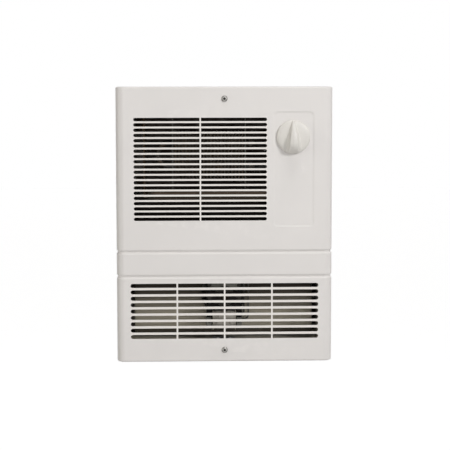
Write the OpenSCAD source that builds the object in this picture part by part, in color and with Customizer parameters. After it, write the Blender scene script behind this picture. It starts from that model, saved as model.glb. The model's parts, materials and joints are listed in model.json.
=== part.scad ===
// Bathroom wall fan heater. A painted cover with a wide outlet grille, a lower
// intake grille and a thermostat knob stands over a steel can that sits in the
// wall. The can holds a centrifugal blower and its motor, an outlet duct with
// a finned heating element, and the controls.
// X is to the right, Y into the wall and Z up. The finished wall is y = 0, and
// the cover is centred on x = z = 0.

/* [Part shown] */
// Sub-part that is drawn

/* [Cover] */
// Width over the rolled sides
cover_w = 290; // [270:1:316]
// Height over the closed ends
cover_h = 370; // [350:1:405]
// Stand-off of the front face from the wall
cover_d = 22; // [21:0.5:28]
// Thickness of the cover sheet
cover_t = 1.6; // [1.2:0.1:2]
// Radius of the rolled left and right sides
side_r = 11; // [8:0.5:13]
// Radius of the top and bottom edges
end_r = 2.5; // [2.2:0.1:4]
// Middle of the plain band between the two grooves, above the lower edge
band_up = 132.5; // [131:0.1:135]
// Distance between the two grooves
band_h = 33.3; // [30:0.1:36]
// Width of a groove
groove_w = 6; // [4:0.1:6.6]
// Depth of a groove
groove_d = 1.8; // [1:0.1:2]
// Distance of each cover screw from the nearer end
screw_inset = 16; // [14:0.5:18]

/* [Outlet grille] */
// Rows of outlet slots
out_rows = 20; // [16:1:20]
// Spacing of the outlet rows
out_pitch = 7; // [6.5:0.1:7]
// Height of an outlet slot
out_slot = 4.6; // [4:0.1:5]
// Distance of the first outlet row from the cover's top
out_head = 43.5; // [42:0.5:46]
// Plain margin to the left of the outlet slots
out_side = 23.7; // [21:0.1:27]
// Plain field to the right of the outlet slots, for the controls
out_field = 88.2; // [86:0.1:95]
// Width of the rib between the outlet columns
out_rib = 2; // [1.6:0.1:4]

/* [Intake grille] */
// Rows of intake slots
in_rows = 9; // [7:1:9]
// Columns of intake slots
in_cols = 4; // [3:1:5]
// Spacing of the intake rows
in_pitch = 8.67; // [8:0.01:8.8]
// Height of an intake slot
in_slot = 5.6; // [4.5:0.1:6]
// Distance of the last intake row from the cover's lower edge
in_foot = 34.24; // [33:0.01:36]
// Plain margin at each side of the intake slots
in_side = 18.6; // [18:0.1:25]
// Width of a rib between intake columns
in_rib = 2.2; // [1.6:0.1:4]

/* [Controls] */
// Knob diameter
knob_d = 45; // [40:0.5:48]
// Height of the knob's skirt and dome
knob_h = 6.5; // [6:0.1:8]
// Height of the knob's grip
grip_h = 16.5; // [14:0.5:20]
// Distance of the knob's axis from the cover's right edge
knob_side = 53; // [52:0.5:56]
// Distance of the knob's axis from the cover's top
knob_head = 67; // [61:0.5:73]
// Radius of the thermostat spindle
spindle_r = 3; // [2.5:0.1:3.2]
// Width of the pressed control panel
panel_w = 58; // [50:0.5:60]
// Depth of the pressed control panel
panel_d = 1; // [0.6:0.1:1.2]
// Plain margin to the right of the control panel
panel_side = 23.7; // [22:0.1:25]
// Plain margin above the control panel
panel_head = 32.45; // [30:0.05:36]
// Height of the control panel's lower edge above the upper groove
panel_foot = 32.9; // [26:0.05:40]

/* [Can] */
// How far the cover reaches past the can on each side
lap_x = 15; // [12:0.5:16]
// How far the cover reaches past the can at the top and bottom
lap_z = 24; // [22:0.5:25]
// Depth of the can
can_d = 95; // [94:1:110]
// Thickness of the can sheet
can_t = 1.2; // [1:0.1:1.5]
// Radius of the mounting holes in the can's sides
side_hole_r = 2.5; // [2:0.1:3.5]
// Front to back spacing of the mounting holes
side_hole_y = 45; // [30:1:50]
// Vertical spacing of the mounting holes
side_hole_z = 220; // [180:1:260]
// Radius of the open cable entry
entry_r = 11.1; // [10:0.1:14]

/* [Blower] */
// Height of the motor shaft above the can's bottom
shaft_up = 62; // [61:0.5:64]
// Face of the intake plate, behind the wall
plate_y = 30; // [30:0.5:31]
// Radius of the air inlet
inlet_r = 31; // [28:0.5:34]
// Radius of the blower wheel
wheel_r = 47; // [44:0.5:48]
// Depth of the blower wheel
wheel_w = 46; // [38:1:46]
// Blades of the blower wheel
blades = 30; // [20:1:34]
// Growth of the scroll's radius each quarter turn
scroll_step = 3.8; // [3:0.1:4]

/* [Motor] */
// Radius of the motor shaft
shaft_r = 2.5; // [2:0.1:3]
// Width of the laminated stack
stack_w = 48; // [46:1:52]
// Thickness of the laminated stack
stack_t = 20; // [16:1:20]
// Radius of the stator bore
bore_r = 13.5; // [12.5:0.1:14]
// Thickness of the winding
coil_t = 6; // [4:0.5:6]

/* [Duct and element] */
// Gap between the duct and the can's left side
duct_gap = 22; // [18:1:26]
// Width of the control bay between the duct and the can's right side
bay_w = 68; // [67:0.5:70]
// Gap above the duct
duct_head = 12; // [11:0.5:15]
// Height inside the duct
duct_h = 112; // [111:0.5:115]
// Distance of the finned casting from the duct's left side
cast_side = 42; // [40:1:48]
// Room between the casting and the duct's right side
cast_end = 35; // [34:1:42]
// Height of the finned casting
cast_h = 64; // [60:1:70]
// Depth of the fins, front to back
fin_d = 36; // [30:1:40]
// Fins on the casting
fins = 20; // [14:1:22]
// Radius of the heating tube
tube_r = 4.2; // [3.5:0.1:4.5]
// Distance between the two runs of the heating tube
tube_gap = 32; // [28:1:34]

/* [Hidden] */

// Radial clearance of a running fit, a seated fit, a screw hole, and a free gap
run = 0.04;
seat = 0.05;
loose = 0.2;
air = 0.4;
// How far a cut runs past a face
past = 1;
round_fn = 48;

// Cover, and the outlet, intake and controls placed from its edges
half_w = cover_w / 2;
half_h = cover_h / 2;
face_y = -cover_d;
inner_y = face_y + cover_t;
panel_face_y = face_y + panel_d;
panel_back_y = inner_y + panel_d;
band_z = -half_h + band_up;
grooves = [band_z - band_h / 2, band_z + band_h / 2];
groove_hw = groove_w / 2;
// Depth of the pressed groove's inner side, at the same sheet thickness
bead_d = groove_d + cover_t * sqrt(1 + pow(groove_d / groove_hw, 2));
out_top = half_h - out_head;
out_left = -half_w + out_side;
out_w = cover_w - out_side - out_field;
in_top = -half_h + in_foot + (in_rows - 1) * in_pitch;
in_w = cover_w - 2 * in_side;
screw_z = half_h - screw_inset;
knob_x = half_w - knob_side;
knob_z = half_h - knob_head;
panel_r = 6;
panel_x = [half_w - panel_side - panel_w, half_w - panel_side];
panel_z = [grooves[1] + panel_foot, half_h - panel_head];
spindle_hole_r = spindle_r + 2;

// Small screws and rivets
bolt_r = 1.5;
bolt_head_r = 2.8;
bolt_head_h = 2;

// Cover fixings
screw_r = 2;
screw_head_r = 4.3;
screw_head_h = 2.6;
screw_len = 9;
tongue_w = 30;
tongue_t = 1.5;
tongue_y = inner_y + loose;
foot_len = 22;
tongue_rivet_x = 8;

// Can
can_w = cover_w - 2 * lap_x;
can_h = cover_h - 2 * lap_z;
in_x = can_w / 2 - can_t;
in_z = can_h / 2 - can_t;
back_y = can_d - can_t;
entry_x = knob_x + 10;
entry_y = can_d - 35;
knockout_groove = 0.5;

// Outlet duct
duct_left = -can_w / 2 + duct_gap;
duct_right = can_w / 2 - bay_w;
duct_roof = can_h / 2 - duct_head;
duct_floor = duct_roof - duct_h;

// Blower
sheet = 1;
shaft_z = -can_h / 2 + shaft_up;
plate_back = plate_y + sheet;
plate_x = in_x - 6.8;
plate_bottom = -can_h / 2 + 11;
foot_w = 12;
foot_h = 20;
collar_h = 4;
wheel_y = plate_back + 5;
wheel_end = wheel_y + wheel_w;
wheel_gap = 5;
scroll_r = wheel_r + wheel_gap;
scroll_back = wheel_end + wheel_gap;
scroll_a = scroll_step / 2;
scroll_left = -scroll_a - scroll_r - 2 * scroll_step;
wheel_band = 8;
wheel_inner = wheel_r - wheel_band;
wheel_rim = 2;
hub_r = 8;
hub_len = 16;
blade_t = 1.4;
blade_inset = 0.5;
blade_lean = 9;
blade_steps = 3;

// Motor, front to back, and heights measured from the shaft
stack_y = -2;
stack_end = stack_y + stack_t;
stack_top = 20;
stack_low = -38;
limb_h = 12;
limb_top = stack_low + limb_h;
window_top = -bore_r - 3.5;
window_x = stack_w / 2 - 8;
bobbin_t = 1;
bobbin_x = window_x - 0.3;
bridge_gap = 5.5;
bridge_t = 2;
bridge_h = 13;
bridge_face = stack_y - bridge_gap - bridge_t;
bridge_rear = stack_end + bridge_gap + bridge_t;
boss_r = 8;
boss_len = 4.2;
bearing_r = 5.5;
bearing_len = 5;
nut_len = 2.2;
nut_r = 3;
bolt_x = stack_w / 2 - 3.6;
rivet_x = stack_w / 2 - 4;
rivet_up = stack_top - 4.5;
rivet_down = stack_low + 5;
mount_t = 1.5;
strap_w = 21;
web_w = 10;
saddle_h = 9;
top_foot_z = shaft_z + inlet_r + 10;
low_foot_z = shaft_z + stack_low - 6.5;
top_foot_x = 6;
low_foot_x = stack_w / 2 - 6;
mount_feet = [[-top_foot_x, top_foot_z], [top_foot_x, top_foot_z],
              [-low_foot_x, low_foot_z], [low_foot_x, low_foot_z]];

// Element
cast_x = duct_left + cast_side;
cast_right = duct_right - cast_end;
cast_w = cast_right - cast_x;
cast_z = duct_floor + 23;
cast_y = 14;
tube_y = cast_y + fin_d / 2;
tube_low = cast_z + (cast_h - tube_gap) / 2;
tube_high = tube_low + tube_gap;
core_t = 6;
fin_t = 1.6;
bracket_t = 1.2;
bracket_gap = 2.5;
strap_left = cast_x - bracket_gap - bracket_t;
strap_right = cast_right + bracket_gap;
element_feet = [strap_left - 4, strap_right + bracket_t + 4];
bracket_d = 22;
tube_end = cast_right + 8;
bead_len = 8;
pin_r = 1.2;

// Thermostat and its bracket
control_y = -6;
control_back = control_y + bracket_t;
leaf_rim = 8;
leaf_d = 28;
side_screw_len = 6;
bracket_screw_y = control_y + 18;
bracket_screw_z = [knob_z - 18, knob_z + 18];
thermo_w = 30;
thermo_h = 40;
thermo_d = 14;
thermo_back = control_back + thermo_d;
bushing_r = 4.8;
bushing_y = control_y - 9;
nut_h = 3;
knob_y = panel_face_y - air;
knob_bore = 12.5;
knob_wall = 2;
knob_crown = 2;
grip_tip_r = 1.75;
grip_foot_r = 3;
grip_foot_w = 13;
grip_top = knob_d / 2 - 3.5;
grip_low = -knob_d / 2 + 4.2;
spindle_end = control_back + 8;
flat = 1;
tab_w = 6.3;
tab_t = 0.8;
tab_len = 8;
live_tab = [knob_x - 9, knob_z + 10];
load_tab = [knob_x + 8, tube_high];

// Thermal cut-out on the outside of the duct
switch_r = 8.2;
switch_y = 60;
switch_z = tube_high;
switch_len = 12;
switch_tab_y = 5;
switch_screw_z = 12;

// Terminal block, bulb and wires
block_x = knob_x - 18;
block_w = 46;
block_z = duct_floor + 15;
block_h = 18;
block_d = 15.8;
poles = [9, 23, 37];
bulb_r = 3;
bulb_y = 12;
bulb_z = shaft_z + 25;
bulb_x = stack_w / 2 + 8;
cap_r = 1;
cap_bend = 4;
cap_step = 8;
cap_x = knob_x + 2;
cap_turn_z = duct_floor - 20;
bulb_len = cap_x - cap_step - bulb_x;
clip_w = 6;
clip_inset = 8;
clip_foot = 8;
wire_r = 1.1;
wire_bend = 6;
grommet_hole_r = 4;
fan_wires = [[block_x + poles[0], shaft_z + 41], [block_x + poles[1], shaft_z + 33]];
lead_y = 22;
lead_back = plate_back + 19;
lead_x = stack_w / 2 + 36;
// How far beside the stack each motor wire comes down, and how far below the shaft it ends
lead_down = [4, 10];
lead_end = [29, 35];
wire_rise = 5;
pin_len = 14;
lip_t = 1.5;
lip_r = 1.3;
entry_wires = [tube_low, tube_high];

// ---- Shapes that repeat ----

// Extrusions along each axis: the children's own axes become Y-Z, X-Z and X-Y
module along_x(x0, x1) {
    translate([x0, 0, 0]) rotate([90, 0, 90]) linear_extrude(x1 - x0) children();
}

module along_y(y0, y1) {
    translate([0, y1, 0]) rotate([90, 0, 0]) linear_extrude(y1 - y0) children();
}

module along_z(z0, z1) {
    translate([0, 0, z0]) linear_extrude(z1 - z0) children();
}

module rod_x(y, z, x0, x1, r) {
    translate([x0, y, z]) rotate([0, 90, 0]) cylinder(h = x1 - x0, r = r, $fn = round_fn);
}

module rod_y(x, z, y0, y1, r) {
    translate([x, y1, z]) rotate([90, 0, 0]) cylinder(h = y1 - y0, r = r, $fn = round_fn);
}

module rod_z(x, y, z0, z1, r) {
    translate([x, y, z0]) cylinder(h = z1 - z0, r = r, $fn = round_fn);
}

module box(x, y, z) {
    translate([x[0], y[0], z[0]]) cube([x[1] - x[0], y[1] - y[0], z[1] - z[0]]);
}

module round_rect(x, z, r) {
    translate([x[0] + r, z[0]]) square([x[1] - x[0] - 2 * r, z[1] - z[0]]);
    translate([x[0], z[0] + r]) square([x[1] - x[0], z[1] - z[0] - 2 * r]);
    for (i = x, k = z) {
        sx = i == x[0] ? 1 : -1;
        sz = k == z[0] ? 1 : -1;
        translate([i + sx * r, k + sz * r]) circle(r, $fn = round_fn);
    }
}

// Pan head screw along Y, head to the front, with a cross recess
module pan_screw(x, z, y, head_r, head_h, r, len) {
    difference() {
        union() {
            rod_y(x, z, y - head_h, y, head_r);
            rod_y(x, z, y - past / 2, y + len, r);
        }
        for (a = [0, 90]) translate([x, y - head_h, z]) rotate([0, a, 0])
            cube([head_r * 1.1, head_h, head_r * 0.28], center = true);
    }
}

// Round wire along flat points with square bends, drawn in its own X-Y plane
module bent_wire(pts, r, bend) {
    last = len(pts) - 1;
    for (i = [0 : last - 1]) {
        way = pts[i + 1] - pts[i];
        d = way / norm(way);
        from = i == 0 ? 0 : bend;
        to = i == last - 1 ? 0 : bend;
        translate(pts[i] + d * from) rotate([0, 90, atan2(d[1], d[0])])
            cylinder(h = norm(way) - from - to, r = r, $fn = 24);
    }
    if (last > 1) for (i = [1 : last - 1]) {
        d0 = (pts[i] - pts[i - 1]) / norm(pts[i] - pts[i - 1]);
        d1 = (pts[i + 1] - pts[i]) / norm(pts[i + 1] - pts[i]);
        left = d0[0] * d1[1] - d0[1] * d1[0] > 0;
        start = left ? atan2(-d1[1], -d1[0]) : atan2(d0[1], d0[0]);
        translate(pts[i] - d0 * bend + d1 * bend) rotate([0, 0, start])
            rotate_extrude(angle = 90, $fn = 32) translate([bend, 0]) circle(r, $fn = 24);
    }
}

// The same wire in the X-Z plane at y, in the Y-Z plane at x, and flat at z
module wire_xz(y, pts, r = wire_r, bend = wire_bend) {
    translate([0, y, 0]) rotate([90, 0, 0]) bent_wire(pts, r, bend);
}

module wire_yz(x, pts, r = wire_r, bend = wire_bend) {
    translate([x, 0, 0]) rotate([90, 0, 90]) bent_wire(pts, r, bend);
}

module wire_xy(z, pts, r = wire_r, bend = wire_bend) {
    translate([0, 0, z]) bent_wire(pts, r, bend);
}

// ---- Cover ----

// One row of slots: round outer ends, square ends at the ribs
module slot_row(left, width, cols, rib, h) {
    seg = (width - rib * (cols - 1)) / cols;
    for (c = [0 : cols - 1]) {
        x0 = left + c * (seg + rib) + (c == 0 ? h / 2 : 0);
        x1 = left + c * (seg + rib) + seg - (c == cols - 1 ? h / 2 : 0);
        translate([x0, -h / 2]) square([x1 - x0, h]);
        if (c == 0) translate([x0, 0]) circle(h / 2, $fn = 24);
        if (c == cols - 1) translate([x1, 0]) circle(h / 2, $fn = 24);
    }
}

// Section of the cover: how deep it lies under the outer face, by height. Its two
// closed ends run on to the given depth.
module skin_section(depth) {
    difference() {
        union() {
            translate([0, -half_h + end_r]) square([cover_t, cover_h - 2 * end_r]);
            for (s = [0, 1]) mirror([0, s]) {
                intersection() {
                    translate([end_r, half_h - end_r]) difference() {
                        circle(end_r, $fn = round_fn);
                        circle(end_r - cover_t, $fn = round_fn);
                    }
                    translate([0, half_h - end_r]) square(end_r);
                }
                translate([end_r, half_h - cover_t]) square([depth - end_r, cover_t]);
            }
            for (z = grooves) {
                reach = bead_d * groove_hw / groove_d;
                polygon([[0, z - reach], [bead_d, z], [0, z + reach]]);
            }
        }
        for (z = grooves) {
            reach = groove_hw * (1 + past / groove_d);
            polygon([[-past, z - reach], [groove_d, z], [-past, z + reach]]);
        }
    }
}

// The section carried along the front and round both rolled sides
module skin() {
    along_x(-half_w + side_r, half_w - side_r) translate([face_y, 0]) skin_section(cover_d);
    for (s = [0, 1]) mirror([s, 0, 0]) {
        translate([half_w - side_r, face_y + side_r, 0]) rotate([0, 0, -90])
            rotate_extrude(angle = 90, $fn = 64)
                translate([side_r, 0]) mirror([1, 0]) skin_section(side_r);
        along_y(face_y + side_r, 0) translate([half_w, 0]) mirror([1, 0]) skin_section(side_r);
    }
}

module panel_plan(grow) {
    round_rect([panel_x[0] - grow, panel_x[1] + grow], [panel_z[0] - grow, panel_z[1] + grow],
               panel_r + grow);
}

module front_cover() color([0.88, 0.86, 0.84]) {
    difference() {
        union() {
            skin();
            along_y(face_y + cover_t / 2, panel_back_y) panel_plan(cover_t);
        }
        along_y(face_y - past, panel_face_y) panel_plan(0);
        along_y(face_y - past, inner_y + past) {
            for (i = [0 : out_rows - 1]) translate([0, out_top - i * out_pitch])
                slot_row(out_left, out_w, 2, out_rib, out_slot);
            for (i = [0 : in_rows - 1]) translate([0, in_top - i * in_pitch])
                slot_row(-in_w / 2, in_w, in_cols, in_rib, in_slot);
        }
        for (s = [-1, 1]) rod_y(0, s * screw_z, face_y - past, inner_y + past, screw_r + loose);
        rod_y(knob_x, knob_z, face_y - past, panel_back_y + past, spindle_hole_r);
    }
}

module cover_screws() color([0.55, 0.55, 0.55])
    for (s = [-1, 1]) pan_screw(0, s * screw_z, face_y, screw_head_r, screw_head_h,
                                screw_r, screw_len);

// ---- Knob and thermostat ----

module spindle_plan(grow) {
    difference() {
        circle(spindle_r + grow, $fn = round_fn);
        translate([-spindle_r - past, spindle_r - flat + grow])
            square([2 * (spindle_r + past), 2 * spindle_r]);
    }
}

// Children drawn on the knob's axis, with their own Z pointing out of the wall
module on_knob(y) {
    translate([knob_x, y, knob_z]) rotate([90, 0, 0]) children();
}

// Grip from the front: a wedge that widens from its pointer tip to its foot
module grip_plan() {
    w = grip_foot_w / 2;
    polygon([[-grip_tip_r, grip_top], [grip_tip_r, grip_top], [w, grip_low], [-w, grip_low]]);
    translate([0, grip_top]) circle(grip_tip_r, $fn = 24);
    translate([-w + grip_foot_r, grip_low - grip_foot_r])
        square([grip_foot_w - 2 * grip_foot_r, grip_foot_r]);
    for (s = [-1, 1]) translate([s * (w - grip_foot_r), grip_low]) circle(grip_foot_r, $fn = 24);
}

// Grip from the side: low at the tip, full height over the foot
module grip_side() {
    foot = grip_low - grip_foot_r;
    tip = grip_top + grip_tip_r;
    polygon([[foot, knob_wall], [foot, knob_h - knob_crown], [foot + 3, grip_h - 3.5],
             [foot + 6, grip_h], [0, grip_h - 0.8], [grip_top - 2, knob_h + 3], [tip, knob_h],
             [tip, knob_wall]]);
}

module control_knob() color([0.9, 0.89, 0.87]) {
    r = knob_d / 2;
    dome_r = (r * r + knob_crown * knob_crown) / (2 * knob_crown);
    on_knob(knob_y) difference() {
        union() {
            rotate_extrude($fn = 96) intersection() {
                polygon([[0, 0], [r, 0], [r, knob_h - knob_crown - 0.8], [r - 1, knob_h], [0, knob_h]]);
                translate([0, knob_h - dome_r]) circle(dome_r, $fn = 360);
            }
            intersection() {
                translate([0, 0, knob_wall]) linear_extrude(grip_h - knob_wall) grip_plan();
                along_x(-grip_foot_w, grip_foot_w) grip_side();
            }
        }
        translate([0, 0, -past]) difference() {
            cylinder(h = past + knob_h - knob_crown - knob_wall, r = r - knob_wall, $fn = 96);
            cylinder(h = past + knob_h, r = spindle_r + 3, $fn = round_fn);
        }
        translate([0, 0, -past]) linear_extrude(past + knob_bore) spindle_plan(seat);
    }
}

module thermostat_spindle() color([0.75, 0.75, 0.76]) {
    tip = knob_bore - air;
    on_knob(knob_y) linear_extrude(tip) spindle_plan(0);
    rod_y(knob_x, knob_z, knob_y, spindle_end, spindle_r);
}

module tab(x, z, y, up) {
    w = up ? tab_t : tab_w;
    h = up ? tab_w : tab_t;
    box([x - w / 2, x + w / 2], [y, y + tab_len], [z - h / 2, z + h / 2]);
}

module thermostat_body() color([0.16, 0.15, 0.14])
    difference() {
        union() {
            along_y(control_back, thermo_back)
                round_rect([knob_x - thermo_w / 2, knob_x + thermo_w / 2],
                           [knob_z - thermo_h / 2, knob_z + thermo_h / 2], 2);
            rod_y(knob_x, knob_z, bushing_y, control_back + past, bushing_r);
            for (t = [live_tab, load_tab]) tab(t[0], t[1], thermo_back - past, false);
        }
        rod_y(knob_x, knob_z, bushing_y - past, spindle_end + air, spindle_r + run);
    }

module thermostat_nut() color([0.75, 0.7, 0.5])
    difference() {
        translate([knob_x, control_y, knob_z]) rotate([90, 0, 0])
            cylinder(h = nut_h, r = 8, $fn = 6);
        rod_y(knob_x, knob_z, control_y - nut_h - past, control_y + past, bushing_r + seat);
    }

// Angle bracket on the outside of the duct: its front leaf carries the thermostat
module control_bracket() color([0.7, 0.71, 0.72]) {
    x0 = duct_right + sheet;
    z = [knob_z - thermo_h / 2 - leaf_rim, knob_z + thermo_h / 2 + leaf_rim];
    difference() {
        union() {
            box([x0, knob_x + thermo_w / 2 + leaf_rim], [control_y, control_back], z);
            box([x0, x0 + bracket_t], [control_y, control_y + leaf_d], z);
        }
        rod_y(knob_x, knob_z, control_y - past, control_back + past, bushing_r + loose);
        for (z = bracket_screw_z) rod_x(bracket_screw_y, z, x0 - past, x0 + 2 * past,
                                        bolt_r + loose);
    }
}

module side_screw(y, z, x) {
    rod_x(y, z, x, x + bolt_head_h, bolt_head_r);
    rod_x(y, z, x - side_screw_len, x + past, bolt_r);
}

module bracket_screws() color([0.6, 0.6, 0.6])
    for (z = bracket_screw_z) side_screw(bracket_screw_y, z, duct_right + sheet + bracket_t);

// Sensing bulb above the intake slots, with its capillary up to the thermostat
module capillary_bulb() color([0.72, 0.45, 0.28]) {
    rod_x(bulb_y, bulb_z, bulb_x, bulb_x + bulb_len, bulb_r);
    wire_xz(bulb_y, [[bulb_x + bulb_len - past, bulb_z], [cap_x + cap_step, bulb_z],
                     [cap_x + cap_step, cap_turn_z], [cap_x, cap_turn_z],
                     [cap_x, knob_z - thermo_h / 2]], cap_r, cap_bend);
}

module bulb_clips() color([0.7, 0.71, 0.72])
    for (x = [bulb_x + clip_inset, bulb_x + bulb_len - clip_inset - clip_w]) {
        z = bulb_z - sheet / 2;
        difference() {
            rod_x(bulb_y, bulb_z, x, x + clip_w, bulb_r + seat + sheet);
            rod_x(bulb_y, bulb_z, x - past, x + clip_w + past, bulb_r + seat);
        }
        box([x, x + clip_w], [bulb_y + bulb_r + seat + sheet / 2, plate_y], [z, z + sheet]);
        box([x, x + clip_w], [plate_y - sheet, plate_y], [z, z + clip_foot]);
    }

// ---- Can and cover fixings ----

module side_holes() {
    for (y = [can_d / 2 - side_hole_y / 2, can_d / 2 + side_hole_y / 2],
         z = [-side_hole_z / 2, side_hole_z / 2]) {
        rod_x(y, z, -can_w / 2 - past, -in_x + past, side_hole_r);
        rod_x(y, z, in_x - past, can_w / 2 + past, side_hole_r);
    }
}

// Half-pressed ring of a knockout, on the can's outside
module knockout_ring() {
    difference() {
        cylinder(h = knockout_groove + past, r = entry_r, $fn = round_fn);
        translate([0, 0, -past]) cylinder(h = knockout_groove + 3 * past, r = entry_r - 0.8,
                                          $fn = round_fn);
    }
}

// Feet of the duct and of the intake plate against the can's back: x, z of each screw
duct_feet = [[duct_left - foot_w / 2, duct_floor + 16], [duct_left - foot_w / 2, duct_roof - 16],
             [duct_right + sheet + foot_w / 2, duct_roof - 12]];
plate_feet = [for (s = [-1, 1], z = [plate_bottom + 25, duct_floor - 30])
              [s * (plate_x - sheet - foot_w / 2), z]];
foot_screws = concat(duct_feet, plate_feet);
ground_at = [block_x + block_w - 6, block_z + 40];

module wall_housing() color([0.66, 0.67, 0.68])
    difference() {
        box([-can_w / 2, can_w / 2], [0, can_d], [-can_h / 2, can_h / 2]);
        box([-in_x, in_x], [-past, back_y], [-in_z, in_z]);
        side_holes();
        rod_z(entry_x, entry_y, in_z - past, can_h / 2 + past, entry_r);
        translate([entry_x - 3 * entry_r, entry_y, can_h / 2 - knockout_groove]) knockout_ring();
        translate([entry_x, can_d - knockout_groove, can_h / 2 - 4 * entry_r])
            rotate([-90, 0, 0]) knockout_ring();
        for (p = concat(foot_screws, [ground_at]))
            rod_y(p[0], p[1], back_y - past, can_d + past, bolt_r + seat);
        for (s = [-1, 1], x = [-tongue_rivet_x, tongue_rivet_x])
            rod_z(x, foot_len / 2, s > 0 ? in_z - past : -can_h / 2 - past,
                  s > 0 ? can_h / 2 + past : -in_z + past, bolt_r + seat);
    }

// Angle inside the can's top and bottom, up to the tapped tongue behind the cover
module cover_brackets() color([0.7, 0.71, 0.72])
    for (s = [0, 1]) mirror([0, 0, s]) difference() {
        union() {
            box([-tongue_w / 2, tongue_w / 2], [tongue_y, foot_len], [in_z - tongue_t, in_z]);
            along_y(tongue_y, tongue_y + tongue_t)
                round_rect([-tongue_w / 2, tongue_w / 2], [in_z - tongue_t, screw_z + 8], 4);
            box([-tongue_w / 2, tongue_w / 2], [tongue_y, tongue_y + tongue_t],
                [in_z - tongue_t, in_z + 4]);
        }
        rod_y(0, screw_z, tongue_y - past, tongue_y + tongue_t + past, screw_r + seat);
        for (x = [-tongue_rivet_x, tongue_rivet_x])
            rod_z(x, foot_len / 2, in_z - tongue_t - past, in_z + past, bolt_r + seat);
    }

module bracket_rivets() color([0.75, 0.75, 0.76])
    for (s = [0, 1], x = [-tongue_rivet_x, tongue_rivet_x]) mirror([0, 0, s]) {
        rod_z(x, foot_len / 2, in_z - tongue_t - 1.2, in_z - tongue_t, 2.8);
        rod_z(x, foot_len / 2, in_z - tongue_t - 0.6, can_h / 2, bolt_r);
    }

// ---- Blower ----

// Bent foot on the can's back, a little wider than its screw needs to join its wall
module foot(p) {
    x = foot_w / 2 + sheet / 2;
    box([p[0] - x, p[0] + x], [back_y - sheet, back_y], [p[1] - foot_h / 2, p[1] + foot_h / 2]);
}

// Intake plate with flanges back to the can, and the inlet's collar
module intake_plate() color([0.55, 0.54, 0.5])
    difference() {
        union() {
            box([-plate_x, plate_x], [plate_y, plate_back], [plate_bottom, duct_floor]);
            for (s = [0, 1]) mirror([s, 0, 0])
                box([plate_x - sheet, plate_x], [plate_y, back_y], [plate_bottom, duct_floor]);
            for (p = plate_feet) foot(p);
            rod_y(0, shaft_z, plate_y, plate_back + collar_h, inlet_r + sheet);
        }
        rod_y(0, shaft_z, plate_y - past, plate_back + collar_h + past, inlet_r);
        for (p = plate_feet) rod_y(p[0], p[1], back_y - sheet - past, back_y + past, bolt_r + loose);
        for (p = mount_feet) rod_y(p[0], p[1], plate_y - past, plate_back + past, bolt_r + seat);
        for (p = fan_wires) rod_y(p[0], p[1], plate_y - past, plate_back + past, grommet_hole_r);
    }

// Quarter of a disc, in the quadrant given by the two signs
module quarter(x, z, r, sx, sz) {
    translate([x, z]) intersection() {
        circle(r, $fn = 128);
        translate([sx > 0 ? 0 : -r, sz > 0 ? 0 : -r]) square(r);
    }
}

// Spiral of three growing quarters and a neck that rises to the duct's floor
module scroll_plan(grow) {
    top = duct_floor - shaft_z;
    quarter(scroll_a, -scroll_a, scroll_r + grow, 1, 1);
    quarter(-scroll_a, -scroll_a, scroll_r + scroll_step + grow, 1, -1);
    quarter(-scroll_a, scroll_a, scroll_r + 2 * scroll_step + grow, -1, -1);
    translate([scroll_left - grow, scroll_a]) square([-scroll_a - scroll_left + grow, top - scroll_a]);
    translate([-scroll_a, -scroll_a]) square([scroll_step + grow, top + scroll_a]);
}

module scroll_housing() color([0.62, 0.62, 0.6])
    translate([0, 0, shaft_z]) difference() {
        along_y(plate_back, scroll_back + sheet) scroll_plan(sheet);
        along_y(plate_back - past, scroll_back) scroll_plan(0);
        along_y(plate_back - past, scroll_back) translate([scroll_left, 0])
            square([scroll_a - scroll_left, duct_floor - shaft_z + past]);
    }

// One side of a forward-curved blade, from the wheel's inner radius to its rim
function blade_side(start) = [
    for (i = [0 : blade_steps])
        let (f = i / blade_steps,
             r = wheel_inner + blade_inset + (wheel_band - 2 * blade_inset) * f,
             a = start + blade_lean * f * f)
        [r * cos(a), r * sin(a)]
];
function reversed(v) = [for (i = [len(v) - 1 : -1 : 0]) v[i]];

module blade_plan() {
    polygon(concat(blade_side(0), reversed(blade_side(blade_t / wheel_inner * 180 / PI))));
}

module blower_wheel() color([0.72, 0.73, 0.74])
    translate([0, 0, shaft_z]) difference() {
        union() {
            rod_y(0, 0, wheel_end - wheel_rim, wheel_end, wheel_r);
            rod_y(0, 0, wheel_end - hub_len, wheel_end, hub_r);
            difference() {
                rod_y(0, 0, wheel_y, wheel_y + wheel_rim, wheel_r);
                rod_y(0, 0, wheel_y - past, wheel_y + wheel_rim + past, wheel_inner);
            }
            along_y(wheel_y + wheel_rim / 2, wheel_end - wheel_rim / 2)
                for (i = [0 : blades - 1]) rotate(i * 360 / blades) blade_plan();
        }
        rod_y(0, 0, wheel_end - hub_len - past, wheel_end + past, shaft_r + seat);
    }

// ---- Motor ----

module motor_shaft() color([0.78, 0.78, 0.8])
    rod_y(0, shaft_z, bridge_face - boss_len - 1.8, wheel_end + 2, shaft_r);

module motor_rotor() color([0.6, 0.6, 0.62])
    difference() {
        union() {
            rod_y(0, shaft_z, stack_y - 1, stack_end + 1, bore_r - 0.3);
            rod_y(0, shaft_z, stack_y - 3, stack_end + 3, bore_r - 2);
        }
        rod_y(0, shaft_z, stack_y - 3 - past, stack_end + 3 + past, shaft_r + seat / 2);
    }

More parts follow.
